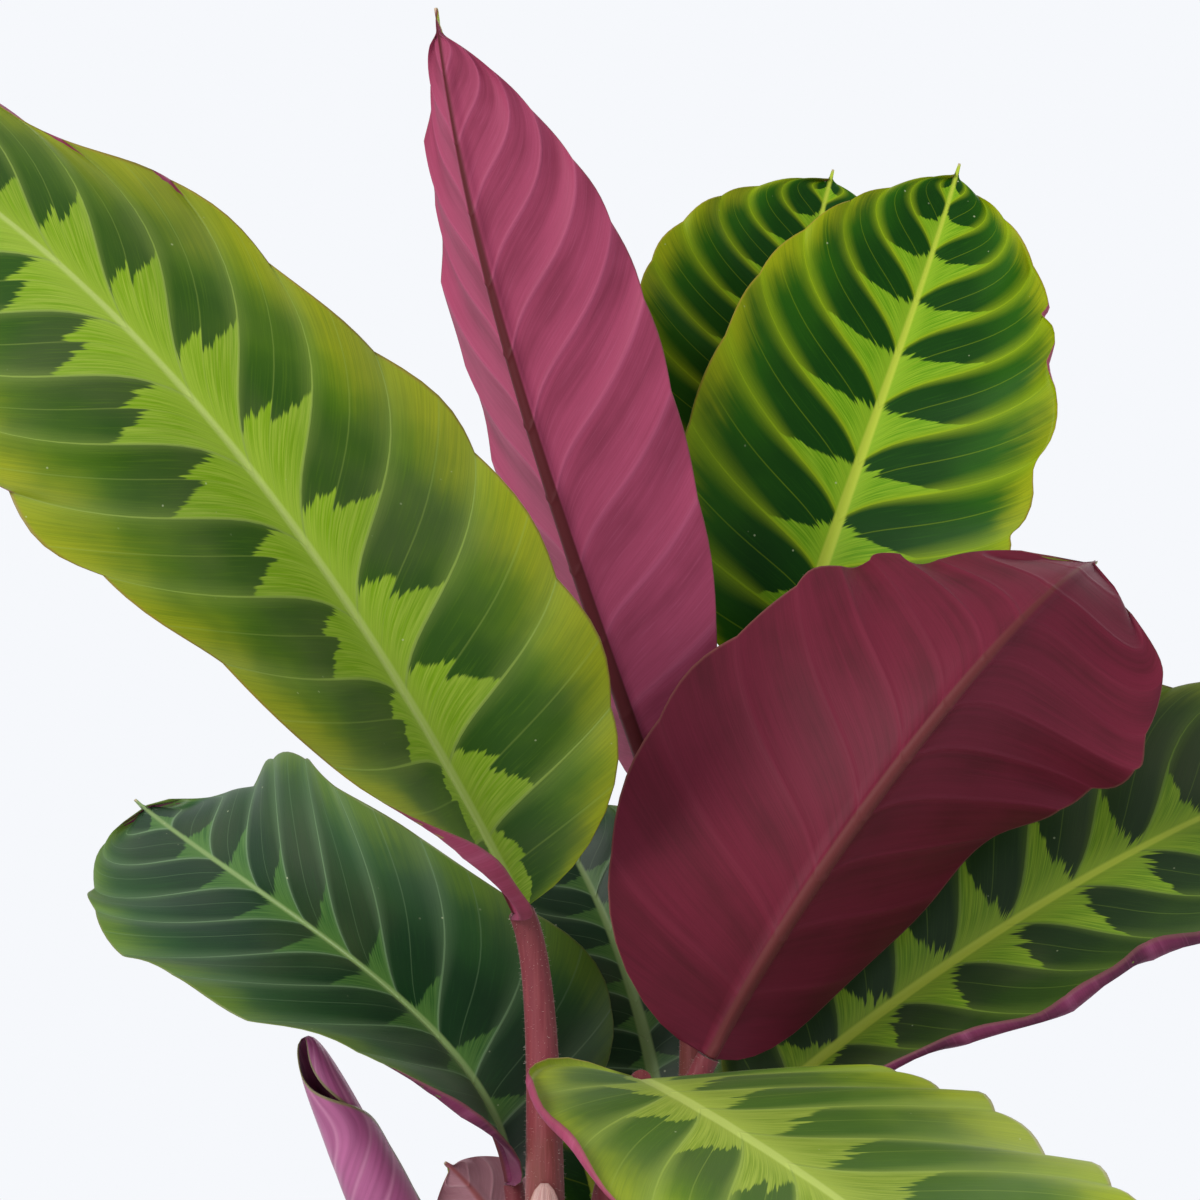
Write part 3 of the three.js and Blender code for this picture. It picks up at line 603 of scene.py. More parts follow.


# %% [markdown]
# The upper face is what this plant is grown for. Along the midrib runs a yellow-green band whose edge is a
# row of ragged teeth: it reaches farthest out just on the tip side of each side vein and shrinks back until
# the next one. Beyond it lies velvet dark green that grows lighter towards a thin yellow margin. The side
# veins are fine pale lines, with fainter ones halfway between, and hundreds of hair-fine streaks run beside
# them. A picture could hold all this, but it would be stuck to one leaf. Here it is worked out from the two
# UV maps instead, so each leaf gets its own teeth from the same rule. Sheen on the shader gives the velvet.
#
# Colours are as a screen shows them. The band reaches far out beside a vein and near before the next, as
# shares of the half blade. Hollow is how fast it shrinks back, rough and second fray its teeth, spread is
# where the light margin starts, halo is the glow along the veins and grey the share of dull olive, which is
# painted sheen: cloudy patches that stand for the greyish shine of the velvet.

# %% Tones of the upper faces
UPPER_TONES = {
    "spring": dict(
        dark=(46, 84, 14), middle=(98, 132, 22), margin=(160, 166, 26), edge=(126, 88, 30),
        band=(134, 172, 20), band_pale=(166, 192, 62), vein=(156, 178, 80), midrib=(184, 202, 104),
        far=0.42, near=0.12, hollow=1.1, rough=0.12, second=0.09, spread=0.57,
        halo=0.3, grey=0.4, sheen=0.2, gloss=0.3,
    ),
    # Partly painted light: the leaves' own green, made brighter and more saturated to stand for daylight
    # shining through the thin blades.
    "vivid": dict(
        dark=(16, 62, 2), middle=(44, 98, 4), margin=(156, 166, 12), edge=(160, 130, 50),
        band=(104, 156, 10), band_pale=(146, 184, 36), vein=(150, 176, 18), midrib=(184, 200, 64),
        far=0.5, near=0.03, hollow=2.2, rough=0.1, second=0.03, spread=0.72,
        halo=0.7, grey=0.0, sheen=0.03, gloss=0.12,
    ),
    "deep": dict(
        dark=(30, 54, 18), middle=(58, 86, 26), margin=(118, 132, 30), edge=(122, 92, 50),
        band=(104, 144, 24), band_pale=(146, 174, 44), vein=(116, 142, 52), midrib=(186, 200, 66),
        far=0.42, near=0.06, hollow=2, rough=0.14, second=0.03, spread=0.7,
        halo=0.35, grey=0.35, sheen=0.12, gloss=0.3,
    ),
    "blue": dict(
        dark=(16, 52, 20), middle=(36, 84, 28), margin=(92, 122, 26), edge=(116, 124, 60),
        band=(50, 96, 34), band_pale=(84, 124, 54), vein=(112, 142, 98), midrib=(130, 156, 92),
        far=0.34, near=0.0, hollow=2.4, rough=0.1, second=0.0, spread=0.66,
        halo=0.34, grey=0.25, sheen=0.18, gloss=0.4,
    ),
    "pale": dict(
        dark=(70, 104, 30), middle=(106, 138, 36), margin=(166, 180, 38), edge=(176, 150, 70),
        band=(132, 156, 44), band_pale=(166, 184, 70), vein=(156, 176, 74), midrib=(190, 206, 100),
        far=0.4, near=0.12, hollow=1.4, rough=0.14, second=0.06, spread=0.55,
        halo=0.6, grey=0.3, sheen=0.2, gloss=0.3,
    ),
}


# %% Shared parts of the finishes
def colours_of(tones):
    """The colours among a finish's tones, ready for a shader."""
    return {key: srgb(*value) for key, value in tones.items() if isinstance(value, tuple)}


def layered(tree, ground, *layers):
    """A ground colour with more colours over it, each as strongly as its factor, 0 to 1, says."""
    for factor, colour in layers:
        values = {0: factor, 6: ground, 7: colour}
        ground = put(tree, "ShaderNodeMix", values, data_type="RGBA").outputs[2]
    return ground


def map_parts(tree, name):
    """The two numbers of a UV map."""
    place = put(tree, "ShaderNodeUVMap", uv_map=name).outputs["UV"]
    parts = put(tree, "ShaderNodeSeparateXYZ", {0: place}).outputs
    return Wire(tree, parts[0]), Wire(tree, parts[1])


def leaf_places(tree, leaf):
    """On a blade: v, its size, the count of veins, r, and millimetres across and along."""
    v, count = map_parts(tree, "veins")
    return v, v.math("ABSOLUTE"), count, count * (1 / leaf["veins"]), *map_parts(tree, "size")


def object_place(tree, scale=(1, 1, 1)):
    """The place on a piece, in metres times scale."""
    place = put(tree, "ShaderNodeTexCoord").outputs["Object"]
    return put(tree, "ShaderNodeMapping", {"Vector": place, "Scale": scale}).outputs[0]


def noise(tree, place, scale=1.0, detail=2.0):
    """Smooth noise from 0 to 1 at a place."""
    values = {"Vector": place, "Scale": scale, "Detail": detail}
    return Wire(tree, put(tree, "ShaderNodeTexNoise", values).outputs[0])


def speckle(tree, x, y, seed, detail=2.0):
    """The same noise over two numbers that are already scaled."""
    place = put(tree, "ShaderNodeCombineXYZ", {0: x, 1: y, 2: seed}).outputs[0]
    return noise(tree, place, 1.0, detail)


def surface_of(tree, colour, bump, depth, **settings):
    """A Principled shader with its colour, a bump in millimetres and its fixed settings."""
    relief = put(tree, "ShaderNodeBump", {"Height": bump, "Distance": depth * MM, "Strength": 1.0})
    shader = put(tree, "ShaderNodeBsdfPrincipled", {"Base Color": colour, "Normal": relief.outputs[0]})
    for key, value in settings.items():
        shader.inputs[key.replace("_", " ")].default_value = value
    put(tree, "ShaderNodeOutputMaterial", {"Surface": shader.outputs[0]})


# %% Finish of the upper faces
# Painted sheen: a dull olive laid over the velvet green in cloudy patches, for its greyish shine.
PAINTED_OLIVE_SHEEN = srgb(92, 98, 62)
DRY_TIP = srgb(204, 178, 146)
FRECKLE = srgb(206, 214, 170)
VELVET_SHEEN = srgb(214, 226, 200)
VELVET_BUMP = 0.06


def specks(tree, across, length, seed):
    """Tiny pale freckles, a few to each square centimetre."""
    place = put(tree, "ShaderNodeCombineXYZ", {0: across * 0.16, 1: length * 0.16, 2: seed}).outputs[0]
    cells = put(tree, "ShaderNodeTexVoronoi", {"Vector": place, "Scale": 1.0}).outputs
    dots = Wire(tree, cells["Distance"]).step(0.07, 0.03)
    return dots * Wire(tree, cells["Color"]).step(0.5, 0.8, 0.0, 0.55)


def band_of(tree, tones, a, count, side, r, streaks, hairline):
    """1 inside the ragged pale band along the midrib, 0 outside."""
    past_vein = count.math("FRACT")
    second = (past_vein * 2).math("FRACT")
    tooth = speckle(tree, count.math("FLOOR") * 7.3, side * 11.7, 2.2, 0.0)
    reach = tones["near"] + (tones["far"] - tones["near"]) * (1 - past_vein) ** tones["hollow"]
    reach = reach * tooth.step(0.25, 0.75, 0.8, 1.2) + (0.5 - second) * tones["second"]
    reach = reach + (streaks - 0.5) * tones["rough"] + (hairline - 0.5) * tones["rough"] * 0.4
    reach = reach * r.step(0.6, 1.0, 1.0, 0.6) * r.step(0.0, 0.1, 0.7, 1.0)
    return (reach - a).step(-0.012, 0.012)


def upper_finish(name, leaf, seed):
    """Velvet green with a ragged pale band along the midrib."""
    tones = UPPER_TONES[leaf["upper"]]
    colour = colours_of(tones)
    material, tree = new_finish(name)
    v, a, count, r, across, length = leaf_places(tree, leaf)
    side = v.math("SIGN")
    near_vein = count.math("PINGPONG", 0.5)
    streaks = speckle(tree, count * 15 + side * 31, a * 2.6, seed)
    hairline = speckle(tree, count * 46 + side * 17, a * 5, seed + 3.7, 1.0)
    fibres = speckle(tree, count * 90, a * 4, seed + 5.3, 0.0)
    patches = speckle(tree, across * 0.045, length * 0.045, seed + 9.1)
    clouds = speckle(tree, across * 0.02, length * 0.02, seed + 14.3)
    outer = (a + (streaks - 0.5) * 0.16 + (patches - 0.5) * 0.3).step(tones["spread"], 1.02)
    ground = layered(
        tree, colour["dark"],
        ((a + (patches - 0.5) * 0.5).step(0.3, 1.0), colour["middle"]),
        # Painted sheen: cloudy patches of dull olive, as much as grey says.
        (clouds.step(0.42, 0.7, 0.0, tones["grey"]), PAINTED_OLIVE_SHEEN),
        (outer**1.5, colour["margin"]),
        (hairline.step(0.5, 0.85, 0.0, 0.3), colour["middle"]),
    )
    band = layered(tree, colour["band"], (hairline.step(0.3, 0.75), colour["band_pale"]))
    band = layered(tree, colour["band_pale"], (a.step(0.0, 0.16), band))
    halo = (1 - near_vein / a.step(0.0, 1.0, 0.1, 0.34)).math("MAXIMUM", 0.0) ** 1.4
    on_vein = (a.step(0.0, 0.9, 0.026, 0.012) - near_vein).step(0.0, 0.01)
    rib_half = r.step(0.0, 1.0, 2.0, 0.5)
    skin = layered(
        tree, ground,
        (band_of(tree, tones, a, count, side, r, streaks, hairline), band),
        (halo * tones["halo"], colour["vein"]),
        (on_vein * 0.75, colour["vein"]),
        ((0.5 - near_vein).step(0.014, 0.004, 0.0, 0.28), colour["vein"]),
        (fibres.step(0.3, 0.7, 0.0, 0.14), colour["dark"]),
        ((rib_half - across.math("ABSOLUTE")).step(-0.6, 0.4), colour["midrib"]),
        (a.step(0.984, 1.0, 0.0, 0.7), colour["edge"]),
        (specks(tree, across, length, seed), FRECKLE),
        (r.step(0.985, 1.0), DRY_TIP),
    )
    surface_of(
        tree, skin, hairline * 0.5 + streaks * 0.4 + fibres * 0.2 + on_vein * 0.6, VELVET_BUMP,
        Roughness=0.46, Sheen_Weight=tones["sheen"], Sheen_Roughness=0.3,
        Specular_IOR_Level=tones["gloss"], Sheen_Tint=VELVET_SHEEN,
    )
    return material


# %% [markdown]
# The underside is as striking: wine red to rose, with paler veins, a dark round midrib, and a darker band
# beside each vein that is painted shade, standing for the dim side of the fold between veins. It follows the
# same maps as the upper face. Bands says how strong that painted shade is, and fine how strong the pale
# lines.

# %% Tones of the undersides
UNDER_TONES = {
    "rose": dict(
        ground=(164, 66, 97), dark=(130, 46, 71), vein=(180, 90, 121),
        midrib=(84, 22, 26), edge=(150, 90, 90),
        bands=0.48, fine=0.3,
    ),
    "maroon": dict(
        ground=(112, 26, 48), dark=(82, 18, 30), vein=(128, 42, 62),
        midrib=(104, 44, 44), edge=(150, 96, 80),
        bands=0.35, fine=0.14,
    ),
    "plum": dict(
        ground=(120, 46, 80), dark=(84, 32, 56), vein=(150, 78, 110),
        midrib=(100, 44, 48), edge=(130, 90, 80),
        bands=0.7, fine=0.4,
    ),
    "dusty": dict(
        ground=(196, 142, 150), dark=(168, 112, 122), vein=(212, 168, 172),
        midrib=(170, 96, 96), edge=(160, 120, 100),
        bands=0.4, fine=0.4,
    ),
}


# %% Finish of the undersides
ROSE_SHEEN = srgb(240, 190, 210)
UNDERSIDE_BUMP = 0.05


def under_finish(name, leaf, seed):
    """Matt wine red with pale veins and a dark midrib."""
    tones = UNDER_TONES[leaf["under"]]
    colour = colours_of(tones)
    material, tree = new_finish(name)
    v, a, count, r, across, length = leaf_places(tree, leaf)
    past_vein = count.math("FRACT")
    near_vein = count.math("PINGPONG", 0.5)
    streaks = speckle(tree, count * 9 + v.math("SIGN") * 31, a * 1.8, seed)
    hairline = speckle(tree, count * 42, a * 4, seed + 3.7, 1.0)
    fibres = speckle(tree, count * 95, a * 3, seed + 5.3, 0.0)
    patches = speckle(tree, across * 0.05, length * 0.05, seed + 9.1)
    # Painted shade: a darker band across most of each interval between veins, for the dim side of each fold.
    painted_fold_shade = past_vein.step(0.15, 0.6) * past_vein.step(1.0, 0.8)
    # The darker colour follows this painted shade together with random streaks and patches of the leaf's own
    # tone.
    fold_shade_and_tone = painted_fold_shade * tones["bands"] + (streaks - 0.5) * 0.9 + (patches - 0.5) * 0.9
    rib_half = r.step(0.0, 1.0, 2.1, 0.4)
    skin = layered(
        tree, colour["ground"],
        # Painted fold shade, mixed with the leaf's own uneven tone.
        (fold_shade_and_tone.step(-0.1, 1.0), colour["dark"]),
        (hairline.step(0.5, 0.85, 0.0, tones["fine"]), colour["vein"]),
        (near_vein.step(0.0, 0.08, tones["fine"] + 0.1, 0.0), colour["vein"]),
        (fibres.step(0.35, 0.7, 0.0, 0.22), colour["dark"]),
        ((rib_half - across.math("ABSOLUTE")).step(-0.4, 0.4), colour["midrib"]),
        (a.step(0.985, 1.0, 0.0, 0.6), colour["edge"]),
        (r.step(0.985, 1.0), DRY_TIP),
    )
    surface_of(
        tree, skin, hairline * 0.5 + streaks * 0.5 + fibres * 0.3, UNDERSIDE_BUMP,
        Roughness=0.6, Sheen_Weight=0.06, Sheen_Roughness=0.4,
        Specular_IOR_Level=0.22, Sheen_Tint=ROSE_SHEEN,
    )
    return material


# %% [markdown]
# Now the blades themselves. Each one gets its own two finishes, because the teeth of the band are different
# on every leaf, and each one stands for the plain solid blade of the same name.

# %% Build the blades
SEED_STEP = 5.3
UNDERSIDE_SEED = 2
pieces = []


def tie(piece, node, slot):
    """Notes a finished piece with the node that it stands for and its material slot."""
    pieces.append((piece, node, slot))


for number, (name, leaf) in enumerate(LEAVES.items()):
    upper, lower, maps = blade_faces(leaf, LIPS.get(name, []))
    finishes = [
        upper_finish(f"{name}_velvet", leaf, number * SEED_STEP),
        under_finish(f"{name}_underside", leaf, number * SEED_STEP + UNDERSIDE_SEED),
    ]
    mesh = sheet_mesh(f"{name}_leaf", upper, lower, maps, finishes)
    tie(show(f"{name}_leaf", mesh), f"{name}_blade", "leaf")
print("faces of the blades:", sum(len(piece.data.polygons) for piece, _, _ in pieces))

# %% [markdown]
# A stalk is a round rod that follows a path from the soil to the blade and grows thicker on its way down,
# with a short soft fuzz of hairs. Curves with a bevel could make the rod, but Geometry Nodes can make rod and
# hairs in one tree: an edge chain becomes a curve, a circle is drawn along it, and hairs are scattered on the
# result.

# %% Path of a stalk
SOIL_TOP = 138
BURIED_TOP = SOIL_TOP + 3
ROOT_DEPTH = 25
GAP = 0.35
THICKENING = 0.55
THICKENING_LENGTH = 90


def stalk_path(leaf, steps=40):
    """Points of a stalk's centre line and its radius at each, in millimetres."""
    x, y = leaf["root"]
    tangent = heading(leaf["rib"], np.array([0.0]))[0]
    end = np.array(leaf["rib"][0], float) - tangent * GAP
    height = end[2] - BURIED_TOP
    middle_x = x + 0.1 * (end[0] - x) + leaf["push"][0]
    middle_y = y + 0.1 * (end[1] - y) + leaf["push"][1]
    back = end - tangent * min(height * leaf["lean"], 90)
    control = [(x, y, BURIED_TOP), (middle_x, middle_y, BURIED_TOP + height / 2), back, end]
    rise = bezier(control, np.linspace(0, 1, steps))
    points = np.concatenate([[(x, y, SOIL_TOP - ROOT_DEPTH)], rise])
    from_top = np.linalg.norm(points - end, axis=1)
    radius = leaf["stalk"] * (1 + THICKENING * np.minimum(1, from_top / THICKENING_LENGTH))
    return points, radius, from_top


def path_mesh(name, points, values):
    """A chain of edges that carries numbers for each of its points."""
    mesh = bpy.data.meshes.new(name)
    edges = [(i, i + 1) for i in range(len(points) - 1)]
    mesh.from_pydata((np.array(points) * MM).tolist(), edges, [])
    for key, numbers in values.items():
        attribute = mesh.attributes.new(key, "FLOAT", "POINT")
        attribute.data.foreach_set("value", np.array(numbers, np.float32))
    return mesh


# %% Helpers for Geometry Nodes
def geo(tree, kind, inputs=None, **settings):
    """Adds a geometry node and gives its outputs."""
    return put(tree, f"GeometryNode{kind}", inputs, **settings).outputs


def geometry_tree(name, inputs):
    """An empty geometry tree with named inputs, and the sockets that carry them."""
    tree = bpy.data.node_groups.new(name, "GeometryNodeTree")
    tree.interface.new_socket("Geometry", in_out="INPUT", socket_type="NodeSocketGeometry")
    tree.interface.new_socket("Geometry", in_out="OUTPUT", socket_type="NodeSocketGeometry")
    for socket, kind in inputs.items():
        tree.interface.new_socket(socket, in_out="INPUT", socket_type=f"NodeSocket{kind}")
    return tree, put(tree, "NodeGroupInput").outputs


def run_tree(piece, tree, values):
    """Runs a tree on a piece with these inputs and keeps the result as a plain mesh."""
    modifier = piece.modifiers.new(tree.name, "NODES")
    modifier.node_group = tree
    for item in tree.interface.items_tree:
        if item.in_out == "INPUT" and item.name in values:
            modifier[item.identifier] = values[item.name]
    evaluated = piece.evaluated_get(bpy.context.evaluated_depsgraph_get())
    result = bpy.data.meshes.new_from_object(evaluated)
    piece.modifiers.remove(modifier)
    piece.data = result
    result.name = piece.name
    return piece


def random_number(tree, low, high, seed):
    """A random number for each instance."""
    values = {2: low, 3: high, "Seed": seed}
    return put(tree, "FunctionNodeRandomValue", values, data_type="FLOAT").outputs[1]


def random_turn(tree, low, high, seed):
    """Three random angles for each instance."""
    values = {0: low, 1: high, "Seed": seed}
    return put(tree, "FunctionNodeRandomValue", values, data_type="FLOAT_VECTOR").outputs[0]


# %% Geometry Nodes for a hairy stalk
HAIR_LEAN = 0.5
HAIR_TURN = 3.1
HAIR_SIZES = (0.5, 1.0)


def hair_nodes(tree, surface, density, length, thickness, seed):
    """Short three-sided hairs that stand on a surface, each leaning its own way."""
    spots = geo(tree, "DistributePointsOnFaces", {"Mesh": surface, "Density": density, "Seed": seed})
    shape = {"Vertices": 3, "Radius Top": 0.0, "Radius Bottom": thickness, "Depth": length}
    cone = geo(tree, "MeshCone", shape, fill_type="NONE")
    lean = random_turn(tree, (-HAIR_LEAN, -HAIR_LEAN, 0.0), (HAIR_LEAN, HAIR_LEAN, HAIR_TURN), 4)
    tilt = put(tree, "FunctionNodeEulerToRotation", {0: lean}).outputs[0]
    both = {0: spots["Rotation"], 1: tilt}
    turn = put(tree, "FunctionNodeRotateRotation", both, rotation_space="LOCAL").outputs[0]
    stand = {
        "Points": spots["Points"], "Instance": cone["Mesh"], "Rotation": turn,
        "Scale": random_number(tree, *HAIR_SIZES, 8),
    }
    return geo(tree, "RealizeInstances", {0: geo(tree, "InstanceOnPoints", stand)[0]})[0]


def stalk_tree():
    """A tube along a chain of points, its ends closed, with a fuzz of hairs."""
    sizes = {
        "Sides": "Int", "Hair Density": "Float", "Hair Length": "Float", "Hair Radius": "Float",
        "Seed": "Int", "Skin": "Material", "Hair": "Material",
    }
    tree, inputs = geometry_tree("Hairy stalk", sizes)
    curve = geo(tree, "MeshToCurve", {"Mesh": inputs["Geometry"]})[0]
    radius = geo(tree, "InputNamedAttribute", {"Name": "thickness"}, data_type="FLOAT")[0]
    curve = geo(tree, "SetCurveRadius", {"Curve": curve, "Radius": radius})[0]
    circle = geo(tree, "CurvePrimitiveCircle", {"Resolution": inputs["Sides"], "Radius": 1.0})[0]
    sweep = {"Curve": curve, "Profile Curve": circle, "Scale": radius, "Fill Caps": True}
    rod = geo(tree, "SetShadeSmooth", {"Geometry": geo(tree, "CurveToMesh", sweep)[0]})[0]
    skin = geo(tree, "SetMaterial", {"Geometry": rod, "Material": inputs["Skin"]})[0]
    hair_inputs = [inputs[key] for key in ("Hair Density", "Hair Length", "Hair Radius", "Seed")]
    hairs = hair_nodes(tree, rod, *hair_inputs)
    fuzz = geo(tree, "SetMaterial", {"Geometry": hairs, "Material": inputs["Hair"]})[0]
    join = put(tree, "GeometryNodeJoinGeometry")
    tree.links.new(fuzz, join.inputs[0])
    tree.links.new(skin, join.inputs[0])
    put(tree, "NodeGroupOutput", {0: join.outputs[0]})
    return tree


# %% [markdown]
# Stalks of this plant are red near the blade, where they are youngest, and turn olive green towards the soil.
# Fine grooves run along them. The chain's own number from_top says how far below the blade each place is, so
# the colour can follow it whatever way the stalk bends.


# %% Finish of the stalks
def stalk_finish():
    """Dark red at the blade, dusty red below it and olive green lower down, with paler grooves."""
    material, tree = new_finish("stalk_skin")
    down = Wire(tree, put(tree, "ShaderNodeAttribute", attribute_name="from_top").outputs["Fac"])
    grooves = noise(tree, object_place(tree, (900, 900, 40)))
    blotches = noise(tree, object_place(tree), 60.0)
    skin = layered(
        tree, srgb(128, 48, 56),
        ((down + (blotches - 0.5) * 60).step(40, 190), srgb(98, 92, 42)),
        (grooves.step(0.35, 0.75, 0.0, 0.35), srgb(164, 84, 86)),
        (down.step(0.0, 16.0, 0.6, 0.0), srgb(112, 40, 46)),
    )
    surface_of(tree, skin, grooves, 0.2, Roughness=0.5, Sheen_Weight=0.12, Specular_IOR_Level=0.35)
    return material


def mottled_finish(name, first, second, roughness, scale=140.0, detail=4.0, spread=0.15, depth=0.5):
    """Two colours that run into each other, for hairs and loose grains."""
    material, tree = new_finish(name)
    tint = noise(tree, object_place(tree), scale, detail)
    skin = layered(tree, srgb(*first), (tint.step(0.5 - spread, 0.5 + spread), srgb(*second)))
    surface_of(tree, skin, tint, depth, Roughness=roughness)
    return material


# %% Build the stalks
STALK_LOOK = {
    "Sides": 20,
    "Hair Density": 300000.0,
    "Hair Length": 1.1 * MM,
    "Hair Radius": 0.04 * MM,
    "Skin": stalk_finish(),
    "Hair": mottled_finish(
        "fuzz", (226, 196, 186), (240, 226, 210), 0.6, scale=300.0, detail=2.0, spread=0.2, depth=0.01
    ),
}
ROLL = dict(
    rib=[(-44, 14, 178), (-60, 14, 212), (-84, 10, 262), (-98, 8, 294)],
    root=(-34, 14), stalk=2.4, lean=0.4, push=(0, 0),
)
hairy_stalk = stalk_tree()
stem_faces = 0
for number, (name, leaf) in enumerate([*LEAVES.items(), ("new_roll", ROLL)]):
    points, radius, from_top = stalk_path(leaf)
    chain = path_mesh(f"{name}_stem", points, {"thickness": radius * MM, "from_top": from_top})
    stem = run_tree(show(f"{name}_stem", chain), hairy_stalk, {**STALK_LOOK, "Seed": number})
    stem_faces += len(stem.data.polygons)
    tie(stem, f"{name}_stalk", "stalk")
print("faces of the stalks with their hairs:", stem_faces)

# %% [markdown]
# The newest leaf is still rolled up like a scroll. Its outside is the rosy underside, and a narrow olive edge
# shows where the roll ends. It is the same kind of closed sheet as the blades, on points that wind inwards
# round a rising centre line.

# %% The rolled leaf
ROLL_ROWS = 90
ROLL_COLUMNS = 72
ROLL_NECK = 2.4
ROLL_POINT = 0.9
ROLL_SWELL = 8.2
ROLL_TURNS = (0.72, 0.5)
ROLL_EDGE = (-185, 190)
ROLL_DROP = 1.9
ROLL_RIB = 0.12
ROLL_HALF_THICKNESS = 0.2


def wound_grids(centre, direction, reach, half, u, s, name):
    """Outer and inner points this far out from a centre line, and a map of the two places u and s."""
    outer = centre[:, None] + direction * (reach + half)[..., None]
    inner = centre[:, None] + direction * (reach - half)[..., None]
    return outer, inner, {name: np.stack(np.broadcast_arrays(u[None, :], s[:, None]), -1)}


def roll_grids():
    """The scroll: u goes round it from its outer edge and s up it."""
    s = np.linspace(0, 1, ROLL_ROWS + 1)
    u = np.linspace(0, 1, ROLL_COLUMNS + 1)
    forward = heading(ROLL["rib"], s)
    right = unit(np.array([1.0, 0, 0]) - forward * forward[:, :1])
    away = np.cross(forward, right)
    bulge = ROLL_SWELL * np.sin(math.pi * s**0.85) ** (0.75 - 0.2 * s)
    radius = ROLL_NECK + (ROLL_POINT - ROLL_NECK) * s + bulge
    turns = ROLL_TURNS[0] + ROLL_TURNS[1] * np.sin(math.pi * s)
    slant = np.clip((0.97 - s) / 0.27, 0, 1)
    edge = np.radians(ROLL_EDGE[0] + ROLL_EDGE[1] * slant * slant * (3 - 2 * slant))
    drop = np.minimum(ROLL_DROP, 0.6 * radius)
    turn = turns[:, None] * u[None, :]
    angle = edge[:, None] - 2 * math.pi * turn
    direction = right[:, None] * np.cos(angle)[..., None] + away[:, None] * np.sin(angle)[..., None]
    ribs = ROLL_RIB * np.abs(np.sin(9 * math.pi * (s[:, None] + 0.55 * u[None, :])))
    reach = radius[:, None] + drop[:, None] * (0.5 - turn) + ribs
    return wound_grids(bezier(ROLL["rib"], s), direction, reach, ROLL_HALF_THICKNESS, u, s, "roll")


def roll_finish(name, ground, dark, vein):
    """Slanting fine veins on a rosy ground, with an olive edge where the roll ends."""
    material, tree = new_finish(name)
    u, s = map_parts(tree, "roll")
    slant = s * 9 + u * 5
    streaks = speckle(tree, slant * 5, u * 2, 3.1)
    near_vein = slant.math("PINGPONG", 0.5)
    skin = layered(
        tree, srgb(*ground),
        (streaks.step(0.25, 0.75), srgb(*dark)),
        (near_vein.step(0.0, 0.12, 0.6, 0.0), srgb(*vein)),
        (u.math("PINGPONG", 0.5).step(0.012, 0.04, 0.85, 0.0), srgb(124, 128, 62)),
    )
    surface_of(tree, skin, streaks + near_vein, 0.15, Roughness=0.45, Sheen_Weight=0.3)
    return material


roll_finishes = [
    roll_finish("roll_outside", (186, 98, 146), (158, 76, 122), (206, 134, 168)),
    roll_finish("roll_inside", (128, 52, 88), (104, 40, 70), (150, 80, 110)),
]
roll_mesh = sheet_mesh("new_roll_leaf", *roll_grids(), roll_finishes)
tie(show("new_roll_leaf", roll_mesh), "new_roll_blade", "new_leaf")
print("faces of the roll:", len(roll_mesh.polygons))

# %% [markdown]
# A papery sheath clasps the front of the left front stalk. It is dry, pale and thin, with fine lines along
# it, and narrows to a point. Its points lie on the stalk's own path, just outside its surface.

# %% The sheath
SHEATH_BOTTOM = SOIL_TOP + 3.5
SHEATH_TOP = 258
SHEATH_REACH = 78
SHEATH_ROWS = 60
SHEATH_COLUMNS = 28
SHEATH_OFF_STALK = 0.4
SHEATH_HALF_THICKNESS = 0.15


def sheath_grids():
    """The sheath: u goes across it from -1 to 1 and s up it."""
    points, radius, _ = stalk_path(LEAVES["left_front"], 200)
    s = np.linspace(0, 1, SHEATH_ROWS + 1)
    u = np.linspace(-1, 1, SHEATH_COLUMNS + 1)
    z = SHEATH_BOTTOM + (SHEATH_TOP - SHEATH_BOTTOM) * s
    centre = np.stack([np.interp(z, points[:, 2], points[:, k]) for k in range(3)], -1)
    inside = np.interp(z, points[:, 2], radius) + GAP + 0.5 * s**3
    half_turn = np.radians(SHEATH_REACH) * np.sqrt(1 - 0.985 * s**5)
    angle = -math.pi / 2 - half_turn[:, None] * u[None, :]
    direction = np.stack([np.cos(angle), np.sin(angle), 0 * angle], -1)
    crease = 0.1 * np.sin(angle * 22) + 0.05 * np.sin(angle * 9 + 14 * s[:, None])
    reach = inside[:, None] + SHEATH_OFF_STALK + crease
    return wound_grids(centre, direction, reach, SHEATH_HALF_THICKNESS, u, s, "sheath")


def sheath_finish():
    """Pale dry skin with rosy lines and a browner edge."""
    material, tree = new_finish("sheath_skin")
    u, s = map_parts(tree, "sheath")
    lines = speckle(tree, u * 26, s * 2.5, 6.4)
    clouds = speckle(tree, u * 2, s * 5, 1.4)
    skin = layered(
        tree, srgb(222, 186, 174),
        (lines.step(0.3, 0.7), srgb(196, 142, 136)),
        (clouds.step(0.4, 0.75, 0.0, 0.5), srgb(176, 116, 104)),
        (u.math("ABSOLUTE").step(0.86, 1.0, 0.0, 0.6), srgb(160, 116, 88)),
    )
    surface_of(tree, skin, lines, 0.2, Roughness=0.6, Sheen_Weight=0.2)
    return material


sheath_mesh = sheet_mesh("stalk_sheath_skin", *sheath_grids(), [sheath_finish()])
tie(show("stalk_sheath_skin", sheath_mesh), "stalk_sheath", "sheath")
print("faces of the sheath:", len(sheath_mesh.polygons))

# %% [markdown]
# The photograph ends above the pot, so this is a plain clay one of the common kind: a tapering wall, a thick
# rim, softly rounded edges and four drain holes. Thrown and moulded pots are round, so one outline swept
# round a circle is all it takes. The drain holes are cut out of the floor in the same tree.

